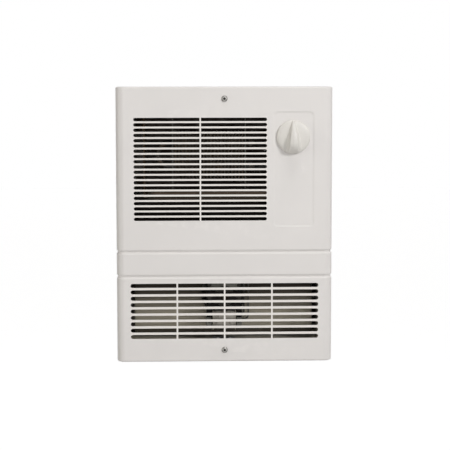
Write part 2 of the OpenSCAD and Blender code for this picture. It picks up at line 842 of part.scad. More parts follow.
module motor_stack() color([0.2, 0.2, 0.21])
    translate([0, 0, shaft_z]) difference() {
        along_y(stack_y, stack_end) difference() {
            round_rect([-stack_w / 2, stack_w / 2], [stack_low, stack_top], 3);
            circle(bore_r, $fn = 96);
            translate([-window_x, limb_top]) square([2 * window_x, window_top - limb_top]);
        }
        for (s = [-1, 1]) {
            rod_y(s * bolt_x, 0, stack_y - past, stack_end + past, bolt_r + seat);
            for (z = [rivet_up, rivet_down])
                rod_y(s * rivet_x, z, stack_y - past, stack_end + past, bolt_r + seat);
        }
    }

module stack_rivets() color([0.8, 0.8, 0.8])
    for (s = [-1, 1], z = [rivet_up, rivet_down]) {
        y0 = stack_y - mount_t;
        rod_y(s * rivet_x, shaft_z + z, y0 - 1.4, y0, 2.7);
        rod_y(s * rivet_x, shaft_z + z, y0 - 0.7, stack_end + 0.7, bolt_r);
        rod_y(s * rivet_x, shaft_z + z, stack_end, stack_end + 1.2, 2.5);
    }

// Section round the stack's lower limb, grown outward, in Y and Z from the shaft
module limb_section(grow, r) {
    round_rect([stack_y - grow, stack_end + grow], [stack_low - grow, limb_top + grow], r);
}

module coil_bobbin() color([0.85, 0.83, 0.76])
    translate([0, 0, shaft_z]) difference() {
        union() {
            along_x(-bobbin_x, bobbin_x) limb_section(loose + bobbin_t, 1);
            for (s = [0, 1]) mirror([s, 0, 0])
                along_x(bobbin_x - bobbin_t, bobbin_x) limb_section(loose + bobbin_t + coil_t, 3);
        }
        along_x(-bobbin_x - past, bobbin_x + past) limb_section(loose, 0.3);
    }

module motor_coil() color([0.78, 0.76, 0.7])
    translate([0, 0, shaft_z]) along_x(-bobbin_x + bobbin_t + seat, bobbin_x - bobbin_t - seat)
        difference() {
            limb_section(loose + bobbin_t + coil_t - 0.5, 4);
            limb_section(loose + bobbin_t + seat, 1);
        }

// Bridge with two legs and a bearing boss, facing the front
module motor_bridge() {
    z = [-bridge_h / 2, bridge_h / 2];
    translate([0, 0, shaft_z]) difference() {
        union() {
            along_y(bridge_face, bridge_face + bridge_t)
                round_rect([-stack_w / 2, stack_w / 2], z, 3);
            for (s = [0, 1]) mirror([s, 0, 0])
                box([stack_w / 2 - 7, stack_w / 2], [bridge_face + bridge_t / 2, stack_y], z);
            rod_y(0, 0, bridge_face - boss_len, bridge_face + bridge_t, boss_r);
        }
        rod_y(0, 0, bridge_face - boss_len - past, bridge_face + bridge_t + past, bearing_r);
        for (s = [-1, 1]) rod_y(s * bolt_x, 0, bridge_face - past, stack_y + past, bolt_r + seat);
    }
}

// The rear bridge is the front one turned over about the stack's middle
module rear_side() {
    translate([0, stack_y + stack_end, 0]) mirror([0, 1, 0]) children();
}

module motor_bracket_front() color([0.68, 0.68, 0.67]) motor_bridge();

module motor_bracket_rear() color([0.68, 0.68, 0.67]) rear_side() motor_bridge();

module bearing() {
    y0 = bridge_face - boss_len + 0.5;
    difference() {
        rod_y(0, shaft_z, y0, y0 + bearing_len, bearing_r - seat);
        rod_y(0, shaft_z, y0 - past, y0 + bearing_len + past, shaft_r + run);
    }
}

module motor_bearings() color([0.7, 0.55, 0.3]) {
    bearing();
    rear_side() bearing();
}

module motor_bolts() color([0.6, 0.6, 0.6])
    for (s = [-1, 1]) {
        rod_y(s * bolt_x, shaft_z, bridge_face - bolt_head_h, bridge_face, bolt_head_r);
        rod_y(s * bolt_x, shaft_z, bridge_face - past, bridge_rear + nut_len + 0.3, bolt_r);
    }

module motor_nuts() color([0.7, 0.7, 0.7])
    for (s = [-1, 1]) difference() {
        translate([s * bolt_x, bridge_rear, shaft_z]) rotate([-90, 0, 0])
            cylinder(h = nut_len, r = nut_r, $fn = 6);
        rod_y(s * bolt_x, shaft_z, bridge_rear - past, bridge_rear + 3 * past, bolt_r + seat);
    }

// Mounting straps: a tab on the stack's face, an arm along it and a foot on the plate
module motor_mount_top() color([0.78, 0.78, 0.76]) {
    z = shaft_z + stack_top;
    difference() {
        union() {
            box([-strap_w, strap_w], [stack_y - mount_t, stack_y], [z - saddle_h, z + mount_t]);
            box([-strap_w, strap_w], [stack_y - mount_t, plate_y], [z, z + mount_t]);
            box([-web_w, web_w], [plate_y - mount_t, plate_y], [z, top_foot_z + 6]);
        }
        for (s = [-1, 1]) {
            rod_y(s * rivet_x, shaft_z + rivet_up, stack_y - 3 * past, stack_y + past,
                  bolt_r + seat);
            rod_y(s * top_foot_x, top_foot_z, plate_y - 3 * past, plate_y + past, bolt_r + loose);
        }
        rod_y(0, shaft_z, stack_y - 3 * past, stack_y + past, bore_r + past);
    }
}

module motor_mount_bottom() color([0.78, 0.78, 0.76]) {
    z = shaft_z + stack_low;
    difference() {
        union() {
            for (s = [0, 1]) mirror([s, 0, 0]) {
                x = [bobbin_x + 1.5, stack_w / 2];
                box(x, [stack_y - mount_t, stack_y], [z - mount_t, z + saddle_h]);
                box(x, [stack_y - mount_t, plate_y], [z - mount_t, z]);
            }
            box([-stack_w / 2, stack_w / 2], [plate_y - mount_t, plate_y],
                [low_foot_z - 4.5, z]);
        }
        for (s = [-1, 1]) {
            rod_y(s * rivet_x, shaft_z + rivet_down, stack_y - 3 * past, stack_y + past,
                  bolt_r + seat);
            rod_y(s * low_foot_x, low_foot_z, plate_y - 3 * past, plate_y + past, bolt_r + loose);
        }
    }
}

module mount_screws() color([0.6, 0.6, 0.6])
    for (p = mount_feet) {
        rod_y(p[0], p[1], plate_y - mount_t - bolt_head_h, plate_y - mount_t, bolt_head_r);
        rod_y(p[0], p[1], plate_y - mount_t - past, plate_back + 2.5, bolt_r);
    }

// ---- Duct and element ----

module outlet_duct() color([0.63, 0.62, 0.58]) {
    front = inner_y + 3.4;
    x = [duct_left, duct_right + sheet];
    z = [duct_floor, duct_roof + sheet];
    difference() {
        union() {
            difference() {
                box(x, [front, back_y], z);
                box([duct_left + sheet, duct_right], [front - past, back_y + past],
                    [duct_floor + sheet, duct_roof]);
            }
            for (p = duct_feet) foot(p);
        }
        box([scroll_left, scroll_a], [plate_back, scroll_back], [duct_floor - past, duct_floor + 2 * past]);
        for (p = duct_feet) rod_y(p[0], p[1], back_y - sheet - past, back_y + past, bolt_r + loose);
        for (z = bracket_screw_z)
            rod_x(bracket_screw_y, z, duct_right - past, duct_right + 2 * past, bolt_r + seat);
        for (s = [-1, 1]) rod_x(switch_y, switch_z + s * switch_screw_z, duct_right - past,
                                duct_right + 2 * past, bolt_r + seat);
        for (z = entry_wires) rod_x(tube_y, z, duct_right - past, duct_right + 2 * past, grommet_hole_r);
        for (p = element_feet, f = [duct_floor, duct_roof])
            rod_z(p, tube_y, f - past, f + 2 * past, bolt_r + seat);
    }
}

module chassis_screws() color([0.6, 0.6, 0.6])
    for (p = foot_screws) {
        rod_y(p[0], p[1], back_y - sheet - bolt_head_h, back_y - sheet, bolt_head_r);
        rod_y(p[0], p[1], back_y - sheet - past, can_d, bolt_r);
    }

// Finned casting: a core plate with two tube bosses, and upright fins on both faces
module element_casting() color([0.36, 0.34, 0.32]) {
    z = [cast_z, cast_z + cast_h];
    pitch = (cast_w - fin_t) / (fins - 1);
    difference() {
        union() {
            box([cast_x, cast_right], [tube_y - core_t / 2, tube_y + core_t / 2], [z[0] + 4, z[1] - 4]);
            for (i = [0 : fins - 1])
                box([cast_x + i * pitch, cast_x + i * pitch + fin_t], [cast_y, cast_y + fin_d], z);
            for (t = [tube_low, tube_high])
                box([cast_x, cast_right], [tube_y - tube_r - 2, tube_y + tube_r + 2],
                    [t - tube_r - 2, t + tube_r + 2]);
        }
        for (t = [tube_low, tube_high])
            rod_x(tube_y, t, cast_x - past, cast_right + past, tube_r + seat);
    }
}

// Hairpin heating tube, its bend to the left
module element_tube() color([0.3, 0.29, 0.28]) {
    bend_x = cast_x - 8;
    for (t = [tube_low, tube_high]) rod_x(tube_y, t, bend_x, tube_end, tube_r);
    translate([bend_x, tube_y, (tube_low + tube_high) / 2]) rotate([90, 0, 0]) rotate([0, 0, 90])
        rotate_extrude(angle = 180, $fn = 64) translate([tube_gap / 2, 0]) circle(tube_r, $fn = round_fn);
}

module element_insulators() color([0.93, 0.92, 0.88])
    for (t = [tube_low, tube_high]) difference() {
        union() {
            rod_x(tube_y, t, tube_end, tube_end + bead_len / 2, tube_r + 1);
            rod_x(tube_y, t, tube_end + bead_len / 4, tube_end + bead_len, tube_r - 1);
        }
        rod_x(tube_y, t, tube_end - past, tube_end + bead_len + past, pin_r + seat);
    }

module element_pins() color([0.75, 0.75, 0.76])
    for (t = [tube_low, tube_high]) rod_x(tube_y, t, tube_end, tube_end + pin_len, pin_r);

// Upright straps that hang the tube between the duct's floor and roof
module element_brackets() color([0.7, 0.71, 0.72])
    for (i = [0, 1]) {
        x = i == 0 ? strap_left : strap_right;
        foot = i == 0 ? [x - 8, x + bracket_t] : [x, x + bracket_t + 8];
        y = [tube_y - bracket_d / 2, tube_y + bracket_d / 2];
        z = [duct_floor + sheet, duct_roof];
        difference() {
            union() {
                box([x, x + bracket_t], y, z);
                box(foot, y, [z[0], z[0] + bracket_t]);
                box(foot, y, [z[1] - bracket_t, z[1]]);
            }
            for (t = [tube_low, tube_high])
                rod_x(tube_y, t, x - past, x + bracket_t + past, tube_r + seat);
            for (f = [z[0], z[1] - bracket_t])
                rod_z(element_feet[i], tube_y, f - past, f + bracket_t + past, bolt_r + loose);
        }
    }

module element_screws() color([0.6, 0.6, 0.6])
    for (x = element_feet) {
        low = duct_floor + sheet + bracket_t;
        high = duct_roof - bracket_t;
        rod_z(x, tube_y, low, low + bolt_head_h, bolt_head_r);
        rod_z(x, tube_y, duct_floor, low + past, bolt_r);
        rod_z(x, tube_y, high - bolt_head_h, high, bolt_head_r);
        rod_z(x, tube_y, high - past, duct_roof + 2 * sheet, bolt_r);
    }

module limit_switch() color([0.18, 0.17, 0.16]) {
    x = duct_right + sheet;
    difference() {
        union() {
            box([x, x + 0.8], [switch_y - 6, switch_y + 6],
                [switch_z - switch_screw_z - 4, switch_z + switch_screw_z + 4]);
            rod_x(switch_y, switch_z, x, x + switch_len, switch_r);
            for (s = [-1, 1]) box([x + switch_len - past, x + switch_len + tab_len],
                                  [switch_y + s * switch_tab_y - tab_t / 2,
                                   switch_y + s * switch_tab_y + tab_t / 2],
                                  [switch_z - tab_w / 2, switch_z + tab_w / 2]);
        }
        for (s = [-1, 1]) rod_x(switch_y, switch_z + s * switch_screw_z, x - past, x + 2 * past,
                                bolt_r + loose);
    }
}

module switch_screws() color([0.6, 0.6, 0.6])
    for (s = [-1, 1]) side_screw(switch_y, switch_z + s * switch_screw_z, duct_right + sheet + 0.8);

// ---- Wiring ----

module terminal_block() color([0.12, 0.12, 0.12]) {
    y = [back_y - block_d, back_y];
    difference() {
        box([block_x, block_x + block_w], y, [block_z, block_z + block_h]);
        for (p = poles) {
            rod_y(block_x + p, block_z + block_h / 2, y[0] - past, y[0] + 6, 4);
            rod_z(block_x + p, back_y - block_d / 2, block_z - past, block_z + block_h + past, 1.6);
        }
    }
}

module terminal_screws() color([0.75, 0.7, 0.5])
    for (p = poles) rod_y(block_x + p, block_z + block_h / 2, back_y - block_d + 2,
                          back_y - block_d + 6, 3.8);

module ground_screw() color([0.2, 0.45, 0.25]) {
    translate([ground_at[0], back_y, ground_at[1]]) rotate([90, 0, 0])
        cylinder(h = 3, r = 4.6, $fn = 6);
    rod_y(ground_at[0], ground_at[1], back_y - past, can_d, bolt_r);
}

module grommet(len, hole) {
    difference() {
        union() {
            translate([0, 0, -lip_t]) cylinder(h = lip_t, r = hole + lip_r, $fn = round_fn);
            cylinder(h = len, r = hole - seat, $fn = round_fn);
            translate([0, 0, len]) cylinder(h = lip_t, r = hole + lip_r, $fn = round_fn);
        }
        translate([0, 0, -lip_t - past])
            cylinder(h = len + 2 * (lip_t + past), r = wire_r + seat, $fn = round_fn);
    }
}

module wire_grommets() color([0.1, 0.1, 0.1]) {
    for (z = entry_wires) translate([duct_right, tube_y, z]) rotate([0, 90, 0])
        grommet(sheet, grommet_hole_r);
    for (p = fan_wires) translate([p[0], plate_back, p[1]]) rotate([90, 0, 0])
        grommet(sheet, grommet_hole_r);
}

// Supply to thermostat, thermostat to cut-out, cut-out to element, element to supply
module power_leads() color([0.15, 0.14, 0.14]) {
    block_top = block_z + block_h;
    block_y = back_y - block_d / 2;
    tab_end = thermo_back - past + tab_len + loose;
    pin = tube_end + pin_len + loose;
    tip = duct_right + sheet + switch_len + tab_len + loose;
    wire_yz(live_tab[0], [[block_y, block_top - wire_rise], [block_y, live_tab[1]],
                          [tab_end, live_tab[1]]]);
    wire_xy(load_tab[1], [[load_tab[0], tab_end], [load_tab[0], switch_y + switch_tab_y],
                          [tip, switch_y + switch_tab_y]]);
    wire_xy(tube_high, [[tip, switch_y - switch_tab_y], [tip + 8, switch_y - switch_tab_y],
                        [tip + 8, tube_y], [pin, tube_y]], wire_r, cap_bend);
    neutral = block_x + poles[1];
    half_way = (tube_y + block_y) / 2;
    wire_xy(tube_low, [[pin, tube_y], [neutral, tube_y], [neutral, half_way]]);
    wire_yz(neutral, [[half_way, tube_low], [block_y, tube_low], [block_y, block_top - wire_rise]],
            wire_r, cap_bend);
}

// Two wires from the terminal block, down behind the intake plate to the winding
module motor_leads() color([0.9, 0.9, 0.88]) {
    block_y = back_y - block_d / 2;
    for (i = [0, 1]) {
        p = fan_wires[i];
        down = stack_w / 2 + lead_down[i];
        into = shaft_z - lead_end[i];
        wire_yz(p[0], [[block_y, block_z + wire_rise], [block_y, p[1]], [lead_back, p[1]]]);
        wire_yz(p[0], [[lead_back, p[1]], [lead_y + 8, p[1]]]);
        wire_xy(p[1], [[p[0], lead_y + 8], [p[0], lead_y], [lead_x, lead_y]]);
        wire_xz(lead_y, [[lead_x, p[1]], [down, p[1]], [down, into], [bobbin_x + loose, into]]);
    }
}

front_cover();
cover_screws();
control_knob();
thermostat_spindle();
thermostat_body();
thermostat_nut();
control_bracket();
bracket_screws();
capillary_bulb();
bulb_clips();
wall_housing();
cover_brackets();
bracket_rivets();
intake_plate();
scroll_housing();
outlet_duct();
chassis_screws();
blower_wheel();
motor_shaft();
motor_rotor();
motor_stack();
stack_rivets();
coil_bobbin();
motor_coil();
motor_bracket_front();
motor_bracket_rear();
motor_bearings();
motor_bolts();
motor_nuts();
motor_mount_top();
motor_mount_bottom();
mount_screws();
element_casting();
element_tube();
element_insulators();
element_pins();
element_brackets();
element_screws();
limit_switch();
switch_screws();
terminal_block();
terminal_screws();
ground_screw();
wire_grommets();
power_leads();
motor_leads();
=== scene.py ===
"""Bathroom wall fan heater: a pressed front with its dial and two screws, and behind its grilles
the blower, the finned element and the galvanized can that holds them."""

import json
import math

import bpy
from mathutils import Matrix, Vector

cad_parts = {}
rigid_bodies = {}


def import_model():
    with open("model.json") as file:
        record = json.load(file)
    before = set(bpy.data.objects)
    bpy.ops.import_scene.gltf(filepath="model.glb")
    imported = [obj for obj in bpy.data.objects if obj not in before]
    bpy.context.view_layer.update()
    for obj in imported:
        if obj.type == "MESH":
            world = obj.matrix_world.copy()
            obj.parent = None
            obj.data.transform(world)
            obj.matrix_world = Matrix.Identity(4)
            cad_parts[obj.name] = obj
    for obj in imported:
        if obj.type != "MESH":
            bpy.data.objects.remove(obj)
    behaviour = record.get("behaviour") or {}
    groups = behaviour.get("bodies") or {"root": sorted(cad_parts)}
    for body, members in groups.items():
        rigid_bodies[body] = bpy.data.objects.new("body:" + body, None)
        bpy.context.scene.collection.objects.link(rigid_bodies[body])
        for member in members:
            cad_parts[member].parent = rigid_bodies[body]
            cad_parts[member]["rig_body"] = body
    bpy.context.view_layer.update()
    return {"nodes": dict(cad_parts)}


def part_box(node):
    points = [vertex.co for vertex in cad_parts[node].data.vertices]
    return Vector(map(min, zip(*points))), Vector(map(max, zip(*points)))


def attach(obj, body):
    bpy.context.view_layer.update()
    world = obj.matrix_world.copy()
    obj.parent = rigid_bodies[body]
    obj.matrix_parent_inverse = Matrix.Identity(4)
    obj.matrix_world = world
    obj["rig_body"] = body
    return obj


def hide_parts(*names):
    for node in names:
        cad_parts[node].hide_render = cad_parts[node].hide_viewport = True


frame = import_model()
nodes = frame["nodes"]

MM = 0.001


# ---- Camera ----

EYE = Vector((-0.0697, -2.01136, 0.19376))
LOOK = Vector((0.03513, 0.99468, -0.09671))
LENS = 119.4
ROLL = math.radians(-0.071)


def add_camera():
    data = bpy.data.cameras.new("studio_camera")
    data.lens = LENS
    data.sensor_width = 36
    camera = bpy.data.objects.new("studio_camera", data)
    bpy.context.scene.collection.objects.link(camera)
    camera.location = EYE
    camera.rotation_euler = LOOK.to_track_quat("-Z", "Y").to_euler()
    camera.rotation_euler.rotate_axis("Z", ROLL)
    bpy.context.scene.camera = camera


add_camera()


# ---- Finishes ----

# The values that a cloudy pattern mostly keeps between
SPAN = (0.3, 0.7)
# The Mix node's sockets for colours: its amount and its two colours, and the mixed colour
MIX_SOCKETS, MIX_COLOUR_OUT = (0, 6, 7), 2

# Places that a finish is bound to, each by its ends along X, Y and Z, in mm
OUTLET_BARS = (-121, 57), (-22.6, -20), (6.2, 143.8)
INTAKE_BARS = (-126, 126), (-22.6, -20), (-153.6, -78.6)
HIGH_RECESS = (-2.7, 2.7), (-24.05, -20), (166.3, 171.7)
LOW_RECESS = (-2.7, 2.7), (-24.05, -20), (-171.7, -166.3)
CAN_INSIDE = (-129.4, 129.4), (-1, 94.4), (-160.4, 160.4)
CAN_FOOT = (-129.4, 129.4), (-1, 94.4), (-160.4, -140)
BEHIND_DUCT = (-108, 62), (-1, 94.4), (37, 149)
LIP_FACE = (-103, 59), (-17.3, -15.9), (32.5, 46.5)


class Finish:
    """A finish: one shader, and the patterns that vary its colour, gloss and surface."""

    def __init__(self, name, colour, roughness, metallic=0.0, **values):
        self.material = bpy.data.materials.new(name)
        self.material.use_nodes = True
        self.nodes = self.material.node_tree.nodes
        self.links = self.material.node_tree.links
        self.shader = self.nodes["Principled BSDF"]
        self.place = self.nodes.new("ShaderNodeTexCoord").outputs["Object"]
        self.shader.inputs["Base Color"].default_value = (*colour, 1)
        self.shader.inputs["Roughness"].default_value = roughness
        self.shader.inputs["Metallic"].default_value = metallic
        self.material.diffuse_color = (*colour, 1)
        for socket, value in values.items():
            self.shader.inputs[socket.replace("_", " ")].default_value = value

    def _stretched(self, stretch):
        if stretch == (1, 1, 1):
            return self.place
        mapping = self.nodes.new("ShaderNodeMapping")
        mapping.inputs["Scale"].default_value = stretch
        self.links.new(self.place, mapping.inputs["Vector"])
        return mapping.outputs["Vector"]

    def noise(self, size, detail=2.0, stretch=(1, 1, 1)):
        """Cloudy pattern whose patches are about size across, in mm."""
        node = self.nodes.new("ShaderNodeTexNoise")
        node.inputs["Scale"].default_value = 1 / (size * MM)
        node.inputs["Detail"].default_value = detail
        self.links.new(self._stretched(stretch), node.inputs["Vector"])
        return node.outputs["Fac"]

    def cells(self, size, output="Color"):
        """Crystals about size across, in mm: a shade for each, or the distance from its middle."""
        node = self.nodes.new("ShaderNodeTexVoronoi")
        node.inputs["Scale"].default_value = 1 / (size * MM)
        self.links.new(self.place, node.inputs["Vector"])
        if output == "Color":
            split = self.nodes.new("ShaderNodeSeparateColor")
            self.links.new(node.outputs["Color"], split.inputs["Color"])
            return split.outputs[0]
        return node.outputs[output]

    def bands(self, size, axis):
        """Parallel bands, size apart in mm, that follow one another along axis."""
        node = self.nodes.new("ShaderNodeTexWave")
        node.bands_direction = axis
        node.inputs["Scale"].default_value = math.pi / (10 * size * MM)
        self.links.new(self.place, node.inputs["Vector"])
        return node.outputs["Fac"]

    def _coordinate(self, axis):
        split = self.nodes.new("ShaderNodeSeparateXYZ")
        self.links.new(self.place, split.inputs[0])
        return split.outputs[axis]

    def along(self, axis, low, high):
        """0 to 1 between two places on an axis, in mm."""
        return self.spread(self._coordinate(axis), low * MM, high * MM, 0, 1)

    def within(self, axis, low, high):
        """1 between two places on an axis, in mm, and 0 outside them."""
        node = self.nodes.new("ShaderNodeMath")
        node.operation = "COMPARE"
        node.inputs[1].default_value = (low + high) / 2 * MM
        node.inputs[2].default_value = (high - low) / 2 * MM
        self.links.new(self._coordinate(axis), node.inputs[0])
        return node.outputs[0]

    def inside(self, x, y, z):
        """1 in a box given by its ends along X, Y and Z, in mm."""
        return self.times(self.times(self.within("X", *x), self.within("Y", *y)), self.within("Z", *z))

    def sharp_edge(self, low, high):
        """0 on flat ground and 1 on a sharp edge."""
        point = self.nodes.new("ShaderNodeNewGeometry").outputs["Pointiness"]
        return self.spread(point, low, high, 0, 1)

    def spread(self, pattern, low, high, to_low, to_high):
        """A pattern's span from low to high, laid out between two other numbers."""
        node = self.nodes.new("ShaderNodeMapRange")
        node.inputs["From Min"].default_value = low
        node.inputs["From Max"].default_value = high
        node.inputs["To Min"].default_value = to_low
        node.inputs["To Max"].default_value = to_high
        self.links.new(pattern, node.inputs["Value"])
        return node.outputs["Result"]

    def _feed(self, socket, value):
        """Sets a plain number or colour on a socket, or links a pattern to it."""
        if isinstance(value, (int, float)):
            socket.default_value = value
        elif isinstance(value, tuple):
            socket.default_value = (*value, 1)
        else:
            self.links.new(value, socket)

    def _worked_out(self, operation, one, other):
        node = self.nodes.new("ShaderNodeMath")
        node.operation = operation
        self._feed(node.inputs[0], one)
        self._feed(node.inputs[1], other)
        return node.outputs[0]

    def times(self, one, other):
        return self._worked_out("MULTIPLY", one, other)

    def plus(self, one, other):
        return self._worked_out("ADD", one, other)

    def ramp(self, pattern, *stops):
        """Colour along a pattern: stops are (place, colour)."""
        node = self.nodes.new("ShaderNodeValToRGB")
        elements = node.color_ramp.elements
        while len(elements) < len(stops):
            elements.new(0.5)
        for element, (place, colour) in zip(elements, stops):
            element.position = place
            element.color = (*colour, 1)
        self.links.new(pattern, node.inputs["Fac"])
        return node.outputs["Color"]

    def over(self, under, top, amount):
        """One colour laid over another by a pattern."""
        node = self.nodes.new("ShaderNodeMix")
        node.data_type = "RGBA"
        for socket, value in zip(MIX_SOCKETS, (amount, under, top)):
            self._feed(node.inputs[socket], value)
        return node.outputs[MIX_COLOUR_OUT]

    def colour(self, value):
        self.links.new(value, self.shader.inputs["Base Color"])

    def metal(self, value):
        self.links.new(value, self.shader.inputs["Metallic"])

    def gloss(self, value):
        self.links.new(value, self.shader.inputs["Roughness"])

    def relief(self, *layers):
        """Raises the surface by each (pattern, height in mm)."""
        normal = None
        for pattern, height in layers:
            bump = self.nodes.new("ShaderNodeBump")
            bump.inputs["Strength"].default_value = 1.0
            bump.inputs["Distance"].default_value = height * MM
            self.links.new(pattern, bump.inputs["Height"])
            if normal:
                self.links.new(normal, bump.inputs["Normal"])
            normal = bump.outputs["Normal"]
        self.links.new(normal, self.shader.inputs["Normal"])
        return self


def shade(colour, factor):
    """A colour made darker or lighter."""
    return tuple(min(1.0, c * factor) for c in colour)


def baked_enamel():
    """Off-white baked paint with a faint orange peel, and painted highlights: the bars of both grilles
    a little paler, and sharp edges lightened in patches.
    """
    base = (0.73, 0.7, 0.677)
    f = Finish("baked_enamel", base, 0.42, IOR=1.5)
    clouds, peel, grain = f.noise(70, 3), f.noise(2.2, 1.5), f.noise(0.5, 1)
    tone = f.ramp(clouds, (0.3, shade(base, 0.975)), (0.7, shade(base, 1.02)))
    tone = f.over(tone, shade(base, 0.93), f.spread(grain, 0.6, 0.85, 0, 0.5))
    bars = f.plus(f.inside(*OUTLET_BARS), f.inside(*INTAKE_BARS))
    # Painted highlight: the bars of both grilles made paler, as light would catch them.
    tone = f.over(tone, (0.8, 0.76, 0.72), f.times(bars, 0.9))
    # Painted highlight: sharp edges lightened in patches.
    pale_patches = f.times(f.sharp_edge(0.53, 0.62), f.spread(f.noise(9, 3), 0.45, 0.7, 0, 0.35))
    f.colour(f.over(tone, shade(base, 1.12), pale_patches))
    f.gloss(f.plus(f.spread(peel, *SPAN, 0.36, 0.44), f.spread(clouds, *SPAN, -0.03, 0.04)))
    return f.relief((peel, 0.012), (grain, 0.003))


def moulded_ivory():
    """The dial's ivory plastic, with faint flow streaks."""
    base = (0.69, 0.664, 0.622)
    f = Finish("moulded_ivory", base, 0.44, IOR=1.48)
    flow, grain = f.noise(14, 2, (1, 1, 0.3)), f.noise(0.7, 1)
    f.colour(f.over(f.ramp(flow, (0.3, shade(base, 0.98)), (0.7, shade(base, 1.015))),
                    shade(base, 0.9), f.spread(grain, 0.6, 0.9, 0, 0.3)))
    f.gloss(f.spread(flow, *SPAN, 0.4, 0.48))
    return f.relief((grain, 0.004))


def zinc_sheet(name="galvanized_sheet", base=(0.33, 0.338, 0.342), dull=1.5, can=False):
    """Hot-dip zinc: crystals of differing shade and a little bloom. The can's inside is dusty, and paler
    at its foot, where the lint is also painted light on a shaded floor; it is browned where the hot
    duct stands against it."""
    f = Finish(name, base, 0.4, 1.0)
    spangle, small = f.cells(8), f.cells(3.5)
    bloom = f.noise(60, 4)
    mixed = f.plus(f.times(spangle, 0.65), f.times(small, 0.35))
    tone = f.ramp(mixed, (0.1, shade(base, 0.84)), (0.5, base), (0.95, shade(base, 1.2)))
    tone = f.over(tone, shade(base, 0.8), f.spread(bloom, 0.5, 0.75, 0, 0.55))
    if can:
        indoors = f.inside(*CAN_INSIDE)
        dust = f.ramp(bloom, (0.3, (0.2, 0.185, 0.155)), (0.7, (0.29, 0.27, 0.23)))
        tone = f.over(tone, dust, f.times(indoors, 0.85))
        # Pale lint at the can's foot, also painted light: it lightens the floor in the shade behind the
        # intake plate.
        lint_and_light = f.ramp(bloom, (0.3, (0.5, 0.46, 0.38)), (0.7, (0.6, 0.55, 0.46)))
        tone = f.over(tone, lint_and_light, f.times(f.inside(*CAN_FOOT), 0.8))
        browned = (0.02, 0.0105, 0.004)
        tone = f.over(tone, browned, f.times(f.inside(*BEHIND_DUCT), 0.97))
        f.metal(f.spread(indoors, 0, 1, 1, 0.3))
    f.colour(tone)
    f.gloss(f.plus(f.spread(mixed, 0.1, 0.9, 0.3 * dull, 0.5 * dull),
                   f.spread(bloom, 0.4, 0.7, 0, 0.14)))
    return f.relief((f.noise(6, 3), 0.03), (f.noise(0.8, 2), 0.004))


def coated_plate():
    """Aluminised sheet, dulled to an olive grey and rolled across, with painted shade: darker upwards
    in the shadow of the cover's solid band, near black beneath the duct's floor, and darker along
    its lower edge."""
    base = (0.315, 0.287, 0.226)
    f = Finish("aluminised_plate", base, 0.5, 0.4, Specular_IOR_Level=0.15)
    rolled, patch = f.noise(3, 3, (0.06, 1, 1)), f.noise(45, 4)
    tone = f.ramp(patch, (0.3, shade(base, 0.86)), (0.7, shade(base, 1.1)))
    tone = f.over(tone, shade(base, 0.7), f.spread(rolled, 0.5, 0.8, 0, 0.5))
    # Painted shadow of the cover's solid band above the intake: the plate darkens upwards.
    darkening = f.ramp(f.along("Z", -130, -86), (0.13, (0, 0, 0)), (0.3, (0.45, 0.45, 0.45)),
                  (0.52, (0.5, 0.5, 0.5)), (0.73, (0.86, 0.86, 0.86)), (0.95, (0.95, 0.95, 0.95)))
    tone = f.over(tone, (0.012, 0.008, 0.005), darkening)
    # Painted shade: darker along the plate's lower edge, and near black beneath the duct's floor.
    painted_low_shade, dark_tone = (0.056, 0.048, 0.038), (0.005, 0.0028, 0.001)
    tone = f.over(painted_low_shade, tone, f.along("Z", -147.5, -145))
    f.colour(f.over(tone, dark_tone, f.along("Z", -60, 0)))
    f.gloss(f.plus(f.spread(rolled, *SPAN, 0.42, 0.56), f.spread(patch, *SPAN, -0.04, 0.06)))
    return f.relief((rolled, 0.01), (f.noise(20, 2), 0.05))


def plated(name="zinc_plated_steel", base=(0.3, 0.3, 0.295), rough=0.3):
    """Turned or pressed steel under thin zinc, with stains."""
    f = Finish(name, base, rough, 1.0)
    turned, stain = f.noise(0.5, 2), f.noise(3, 3)
    tone = f.ramp(stain, (0.3, shade(base, 0.8)), (0.7, shade(base, 1.12)))
    f.colour(f.over(tone, shade(base, 0.5), f.spread(turned, 0.62, 0.9, 0, 0.5)))
    f.gloss(f.spread(stain, *SPAN, rough - 0.06, rough + 0.14))
    return f.relief((turned, 0.004))


def cover_screw_zinc():
    """Bright zinc gone dull, with painted shade darkening the cross recess of both heads."""
    base = (0.26, 0.253, 0.238)
    f = Finish("dull_zinc_screw", base, 0.42, 1.0, Specular_IOR_Level=0.08)
    turned, stain = f.noise(0.5, 2), f.noise(2, 3)
    tone = f.ramp(stain, (0.3, shade(base, 0.72)), (0.7, shade(base, 1.25)))
    tone = f.over(tone, shade(base, 0.5), f.spread(turned, 0.62, 0.9, 0, 0.5))
    # Painted shade: the cross recesses near black and hardly metallic.
    cross = f.plus(f.inside(*HIGH_RECESS), f.inside(*LOW_RECESS))
    recess_shade = (0.012, 0.01, 0.008)
    f.colour(f.over(tone, recess_shade, f.times(cross, 0.97)))
    f.metal(f.spread(cross, 0, 1, 1, 0.05))
    f.gloss(f.spread(stain, *SPAN, 0.36, 0.52))
    return f.relief((turned, 0.004), (stain, 0.01))


def mill_aluminium(name="mill_aluminium", base=(0.6, 0.61, 0.62), rough=0.36):
    """Rolled aluminium with a film of dust."""
    f = Finish(name, base, rough, 1.0)
    drawn, dust = f.noise(0.6, 3, (1, 0.05, 1)), f.noise(12, 4)
    tone = f.ramp(drawn, (0.3, shade(base, 0.88)), (0.7, shade(base, 1.06)))
    film = (base[0] * 0.5, base[1] * 0.46, base[2] * 0.4)
    f.colour(f.over(tone, film, f.spread(dust, 0.5, 0.8, 0, 0.45)))
    f.gloss(f.plus(f.spread(drawn, *SPAN, rough - 0.08, rough + 0.06),
                   f.spread(dust, 0.4, 0.8, 0, 0.2)))
    return f.relief((drawn, 0.006))


